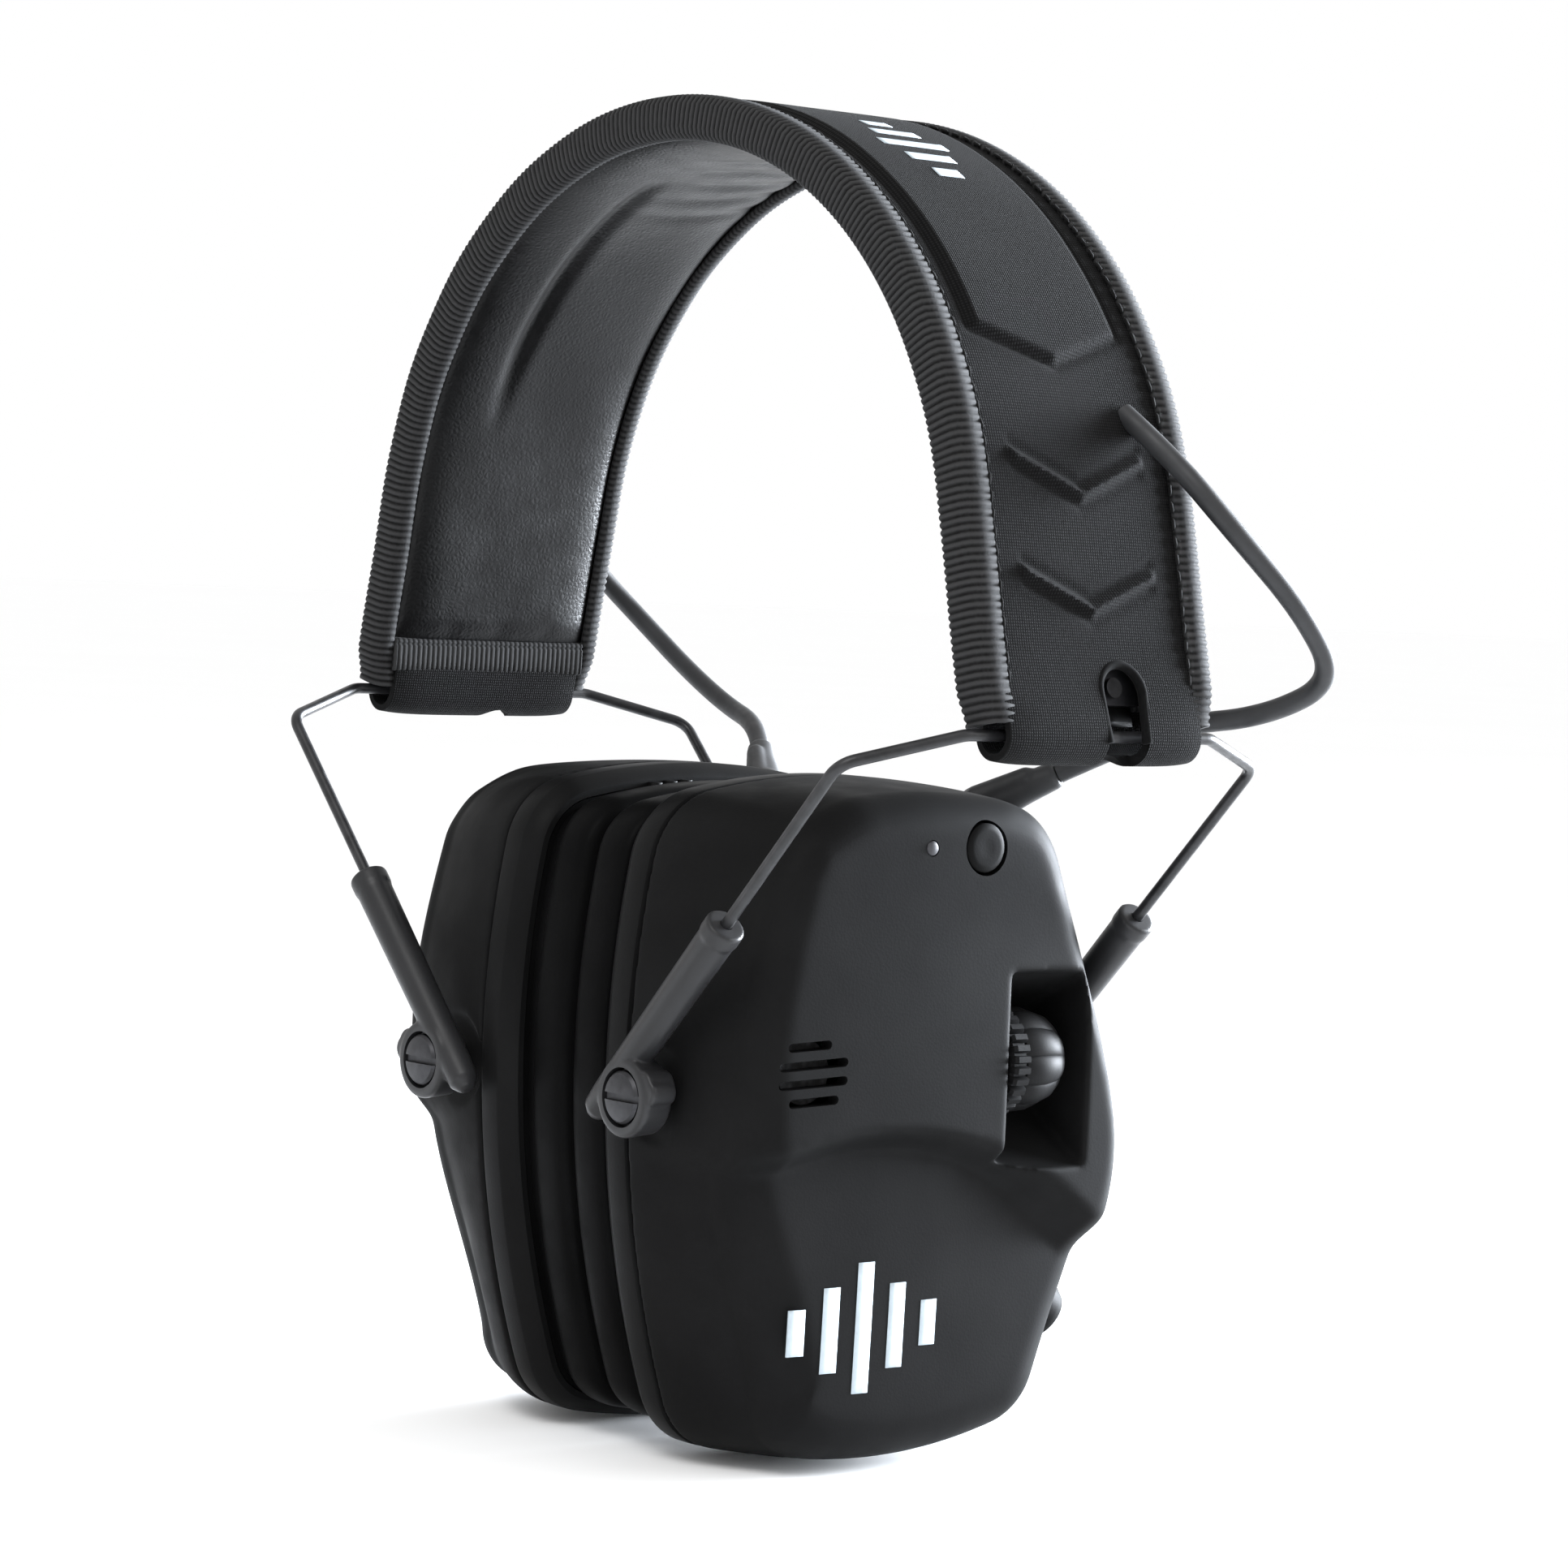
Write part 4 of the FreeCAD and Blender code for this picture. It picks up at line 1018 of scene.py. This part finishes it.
def add_layers(name, side):
    """Rim ring, cushion plate with its clips at the top, and the soft cushion."""
    body = f"{name}_cup"
    top, low = SHELL_X - 0.3, RIM_X - 1.8
    profile = [(top, 3.1), (top, 0.8), (top - 0.4, 0.1), (top - 0.8, 0.0), (low + 3.0, 0.0),
               (low + 2.6, 0.1), (low + 0.5, 1.35), (low, 2.1), (low, 3.1)]
    rim = outline_ring(f"rim_ring_{name}", [(x, inset, 0) for x, inset in profile],
                       MATERIALS["rim_plastic"])
    settle(mirror_piece(sharp_edges(rim, 30), side), body, "rim_plastic", f"{name}_rim")

    opening = ear_opening(17.5, 27.5)
    profile = [(RIM_X - 0.1, 3.3, 0), (RIM_X - 1.6, 3.3, 0), (RIM_X - 1.7, 4.2, 0),
               (PLATE_X + 0.7, 4.2, 0), (PLATE_X, 4.6, 0), (PLATE_X, 4.6, 1), (RIM_X - 0.1, 3.3, 1)]
    # The plate gets the darker cushion finish instead of its own rim plastic: painted shade for the
    # shadowed gap between the two cups.
    plate = outline_ring(f"cushion_plate_{name}", profile, MATERIALS["cushion_skin"],
                         opening=opening)
    settle(mirror_piece(sharp_edges(plate, 30), side), body, "rim_plastic", f"{name}_cushion_plate")

    clips = []
    for y in (-11, 5, -8, 8, -5, 11):
        height = CUP_TOP - y**2 / (2 * TOP_ARC) - 3.0
        clips.append(box((PLATE_X + 0.3, y - 0.7, height - 1.6),
                         (PLATE_X + 2.2, y + 0.7, height + 0.5)))
    clip = join(clips, f"cushion_clips_{name}")
    paint(clip, "rim_plastic")
    settle(mirror_piece(clip, side), body, "rim_plastic")

    chance = random.Random(7 + side)
    waves = [(chance.randint(5, 26), chance.uniform(0, 6.3), chance.uniform(0.02, 0.10))
             for _ in range(9)]

    def pucker(i, share):
        turn = 2 * math.pi * i / AROUND
        return 0.2 * abs(sum(size * math.sin(count * turn + phase) for count, phase, size in waves))

    back, face = PLATE_X - 0.05, CUSHION_X
    profile = []
    for inset, x in ((4.4, back), (3.1, back - 0.5), (2.5, back - 1.6), (2.3, back - 3.4),
                     (2.3, back - 5.2), (2.5, back - 6.9), (3.2, back - 8.3), (5.8, face + 0.15)):
        profile.append((x, inset, 0))
    for share in (0.12, 0.3, 0.5, 0.7, 0.85):
        profile.append((face + 0.05 + 0.18 * (2 * share - 1) ** 2, 5.8, share))
    for x, share in ((face + 0.7, 0.94), (face + 2.2, 0.99), (face + 4.5, 1.0), (back - 1.0, 0.98),
                     (back, 0.93)):
        profile.append((x, 5.8, share))
    cushion = outline_ring(f"ear_cushion_{name}", profile, MATERIALS["cushion_skin"],
                           pucker, ear_opening(16.6, 26.6))
    step = cushion.modifiers.new("round", "SUBSURF")
    step.levels = 2
    apply_modifiers(cushion)
    settle(mirror_piece(cushion, side), body, "cushion_skin", f"{name}_cushion", padded=0.8)


def add_arm(name, side, facing):
    """Tapered tube with a lip at its mouth, melted into the round eye of the pivot."""
    word = "front" if facing < 0 else "back"
    start = LEG_TOP + LEG_DOWN * 34.2
    pivot = Vector((PIVOT_X, LANE, 0))
    profile = [(0.0, 2.2), (0.02, 2.8), (0.3, 3.1), (2.4, 3.1), (3.2, 2.9), (20, 2.75), (38, 2.55),
               (41.5, 2.35), (43.0, 1.3), (43.2, 0.4)]
    arm = turned(profile, start, LEG_DOWN, f"yoke_arm_{name}_{word}")
    eye = turned([(-2.9, 5.2), (-2.6, 5.7), (1.9, 6.1), (2.4, 5.9), (2.6, 5.4)], pivot,
                 (0, 1, 0), "eye")
    lobe = turned([(-2.6, 2.4), (2.0, 2.6), (2.3, 2.2)], pivot + Vector((4.052, 0, 1.988)),
                  (0, 1, 0), "lobe")
    knuckle = turned([(-2.4, 1.9), (1.9, 2.1), (2.2, 1.8)], pivot + Vector((5.3, 0, 1.2)),
                     (0, 1, 0), "knuckle")
    boolean(arm, [eye, lobe, knuckle], "UNION")
    melt(arm, 0.26, 5)
    cuts = [turned([(-0.5, 1.0), (38, 1.0)], start, LEG_DOWN, "bore"),
            turned([(0.9, 4.5), (6, 4.5)], pivot, (0, 1, 0), "seat"),
            turned([(-6, 2.05), (6, 2.05)], pivot, (0, 1, 0), "pin_hole")]
    boolean(arm, cuts)
    sharp_edges(arm, 50)
    paint(arm, "arm_plastic")
    if facing < 0:
        arm.data.transform(Matrix.Diagonal((1, -1, 1, 1)))
        arm.data.flip_normals()
    settle(mirror_piece(arm, side), f"{name}_yoke", "arm_plastic", f"{name}_arm_{word}")


def add_screws(name, side):
    heads = []
    for facing in (-1, 1):
        centre = (PIVOT_X, facing * (LANE + 1.05), 0)
        head = turned([(-9.4, 2.0), (0, 2.0), (0.0, 3.7), (0.5, 4.0), (1.3, 4.0), (1.75, 3.6),
                       (1.95, 2.4), (2.0, 0.5)], centre, (0, facing, 0), f"pivot_screws_{name}")
        outline = [(PIVOT_X - 5, -0.55), (PIVOT_X + 5, -0.55), (PIVOT_X + 5, 0.55),
                   (PIVOT_X - 5, 0.55)]
        slot = prism_along(outline, "y", *sorted((facing * (LANE + 2.1), facing * 46)))
        heads.append(boolean(head, [slot]))
    screws = sharp_edges(join(heads, f"pivot_screws_{name}"), 30)
    paint(screws, "screw_steel")
    settle(mirror_piece(screws, side), f"{name}_cup", "screw_steel", f"{name}_pivot_screws")


def add_boot(name, side):
    """Relief boot: a tapered sleeve with a collar, beside a second, shorter lobe."""
    base = Vector(BOOT_START) - Vector(BOOT_WAY) * 1.5
    long = turned([(0, 3.6), (1.5, 3.8), (3.0, 3.2), (9.5, 2.5), (14.6, 2.2), (15.3, 1.9)], base,
                  BOOT_WAY, f"relief_boot_{name}")
    lobe = turned([(0, 2.2), (9.5, 1.5), (10.8, 0.7)], base + Vector((1.2, -0.5, 2.1)),
                  BOOT_WAY, "lobe")
    boolean(long, [lobe], "UNION")
    melt(long, 0.3, 5)
    paint(long, "dark_rubber")
    settle(mirror_piece(long, side), f"{name}_cup", "dark_rubber", f"{name}_strain_relief")


def add_controls():
    """Knurled wheel with a fluted dome, button with its ring, light, and audio socket."""
    centre = (KNOB_X, KNOB_Y, KNOB_Z)

    def teeth(along, angle):
        if along < 3.3:
            return 0.55 * (1 if math.sin(30 * angle) > -0.1 else -1) - 0.3
        return 0.62 * abs(math.sin(5 * angle)) ** 0.7 * ramp(14.9 - along, 0, 6) - 0.2

    profile = [(0.0, 3.2), (0.0, 7.9), (0.35, 8.45), (2.8, 8.45), (3.1, 8.0), (3.3, 7.2),
               (3.9, 7.35), (5.5, 7.75), (8.0, 7.6), (10.5, 6.9), (12.3, 5.9), (13.7, 4.6),
               (14.5, 3.1), (14.8, 1.5), (14.82, 0.2)]
    knob = turned(profile, centre, (0, 1, 0), "volume_knob", MATERIALS["knob_plastic"], 240, teeth)
    boolean(knob, [turned([(-1, 3.05), (11.6, 3.05)], centre, (0, 1, 0), "shaft_hole", around=32)])
    settle(sharp_edges(knob, 28), "left_knob", "knob_plastic", "left_knob")

    height = face_height(BUTTON_Y, CONTROL_Z)
    profile = [(-4.6, 3.75), (-0.3, 3.75), (0.0, 3.45), (0.12, 2.6), (0.05, 1.2), (0.02, 0.05)]
    button = turned(profile, (height, BUTTON_Y, CONTROL_Z), (1, 0, 0), "power_button",
                    MATERIALS["shell_plastic"], 96)
    settle(sharp_edges(button, 40), "left_button", "knob_plastic", "left_button")

    height = face_height(LIGHT_Y, CONTROL_Z)
    light = turned([(-4, 1.15), (-0.15, 1.15), (0.12, 0.95), (0.25, 0.5), (0.28, 0.05)],
                   (height, LIGHT_Y, CONTROL_Z), (1, 0, 0), "status_light",
                   MATERIALS["light_lens"], 40)
    settle(light, "left_cup", "light_lens", "left_light")

    profile = [(-16.5, 5.0), (-2.2, 5.35), (-0.9, 5.0), (-0.2, 4.1), (0.0, 2.6), (-0.5, 1.85),
               (-14, 1.8)]
    socket = turned(profile, SOCKET_MOUTH, SOCKET_WAY, "audio_socket",
                    MATERIALS["shell_plastic"], 72)
    settle(sharp_edges(socket, 40), "left_cup", "inner_plastic", "left_audio_socket")


def printed_bars(name, centre, heights, width, pitch, place, body):
    """Generic sound-level bars laid on a surface; place(a, b, lift) gives the surface."""
    bars = []
    ups, acrosses = np.linspace(-0.5, 0.5, 14), np.linspace(-0.5, 0.5, 4)
    for k, tall in enumerate(heights):
        middle = centre[0] + (k - (len(heights) - 1) / 2) * pitch
        points = [place(middle + across * width, centre[1] + up * tall, lift)
                  for lift in (0.07, -0.25) for up in ups for across in acrosses]
        bars.append(new_object(name, points, slab(len(ups), len(acrosses))))
    mark = join(bars, name)
    paint(mark, "printed_mark")
    settle(mark, body, "rim_plastic")


CROWN_MARK = 32.0                              # its station along the strap


def add_marks():
    printed_bars("cup_mark", (-8, -34.5), (7, 13, 20, 13, 7), 3.1, 6.4,
                 lambda a, b, lift: (face_height(a, b) + lift, a, b), "left_cup")
    printed_bars("crown_mark", (CROWN_MARK, 0), (5, 9, 13, 9, 5), 2.2, 4.6,
                 lambda a, b, lift: band_point(a, b, COVER_FACE + 0.80 + lift), "headband")


for name, side in SIDES:
    add_shell(name, side)
    add_layers(name, side)
    for facing in (-1, 1):
        add_arm(name, side, facing)
    add_screws(name, side)
    add_boot(name, side)
add_controls()
add_marks()


# ---------------------------------------------------------------- parts kept from the CAD model

def finish_kept_parts():
    slots = {row["node"]: row["material_slot"] for row in frame["record"]["subparts"]}
    for node, piece in frame["nodes"].items():
        paint(piece, "foam" if node.endswith("microphone") else slots[node])


finish_kept_parts()


# ---------------------------------------------------------------- studio

def add_light(name, place, aim, size, power, colour=(1, 1, 1), spread=180):
    data = bpy.data.lights.new(name, "AREA")
    data.shape = "RECTANGLE"
    data.size, data.size_y = size
    data.energy = power
    data.color = colour
    data.spread = math.radians(spread)
    light = bpy.data.objects.new(name, data)
    light.location = place
    light.rotation_euler = (Vector(aim) - Vector(place)).to_track_quat("-Z", "Y").to_euler()
    bpy.context.scene.collection.objects.link(light)


def add_studio():
    floor_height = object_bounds()[0][2] - 0.0003
    wide = 30.0
    mesh = bpy.data.meshes.new("floor")
    mesh.from_pydata([(-wide, -wide, floor_height), (wide, -wide, floor_height),
                      (wide, wide, floor_height), (-wide, wide, floor_height)], [], [(0, 1, 2, 3)])
    floor = bpy.data.objects.new("floor", mesh)
    bpy.context.scene.collection.objects.link(floor)
    finish = Finish("floor_paint", (0.994, 0.994, 0.994), 0.9, Specular_IOR_Level=0.1)
    finish.tint(finish.noise(3), 0.996, 1.004)
    mesh.materials.append(finish.material)
    world = bpy.data.worlds.new("studio")
    world.use_nodes = True
    background = world.node_tree.nodes["Background"]
    background.inputs["Color"].default_value = (1, 1, 1, 1)
    background.inputs["Strength"].default_value = 1.0
    bpy.context.scene.world = world
    bpy.context.scene.view_settings.view_transform = "Standard"
    add_light("key", (0.45, -0.65, 0.75), (0, 0, -0.06), (0.5, 0.5), 6)
    add_light("rim", (0.75, 0.55, 0.35), (0, 0, -0.03), (0.6, 0.6), 2)
    add_light("back", (0.05, 0.95, 0.05), (-0.05, 0, -0.03), (0.75, 0.6), 18,
              (0.86, 0.92, 1.0), 50)


add_studio()
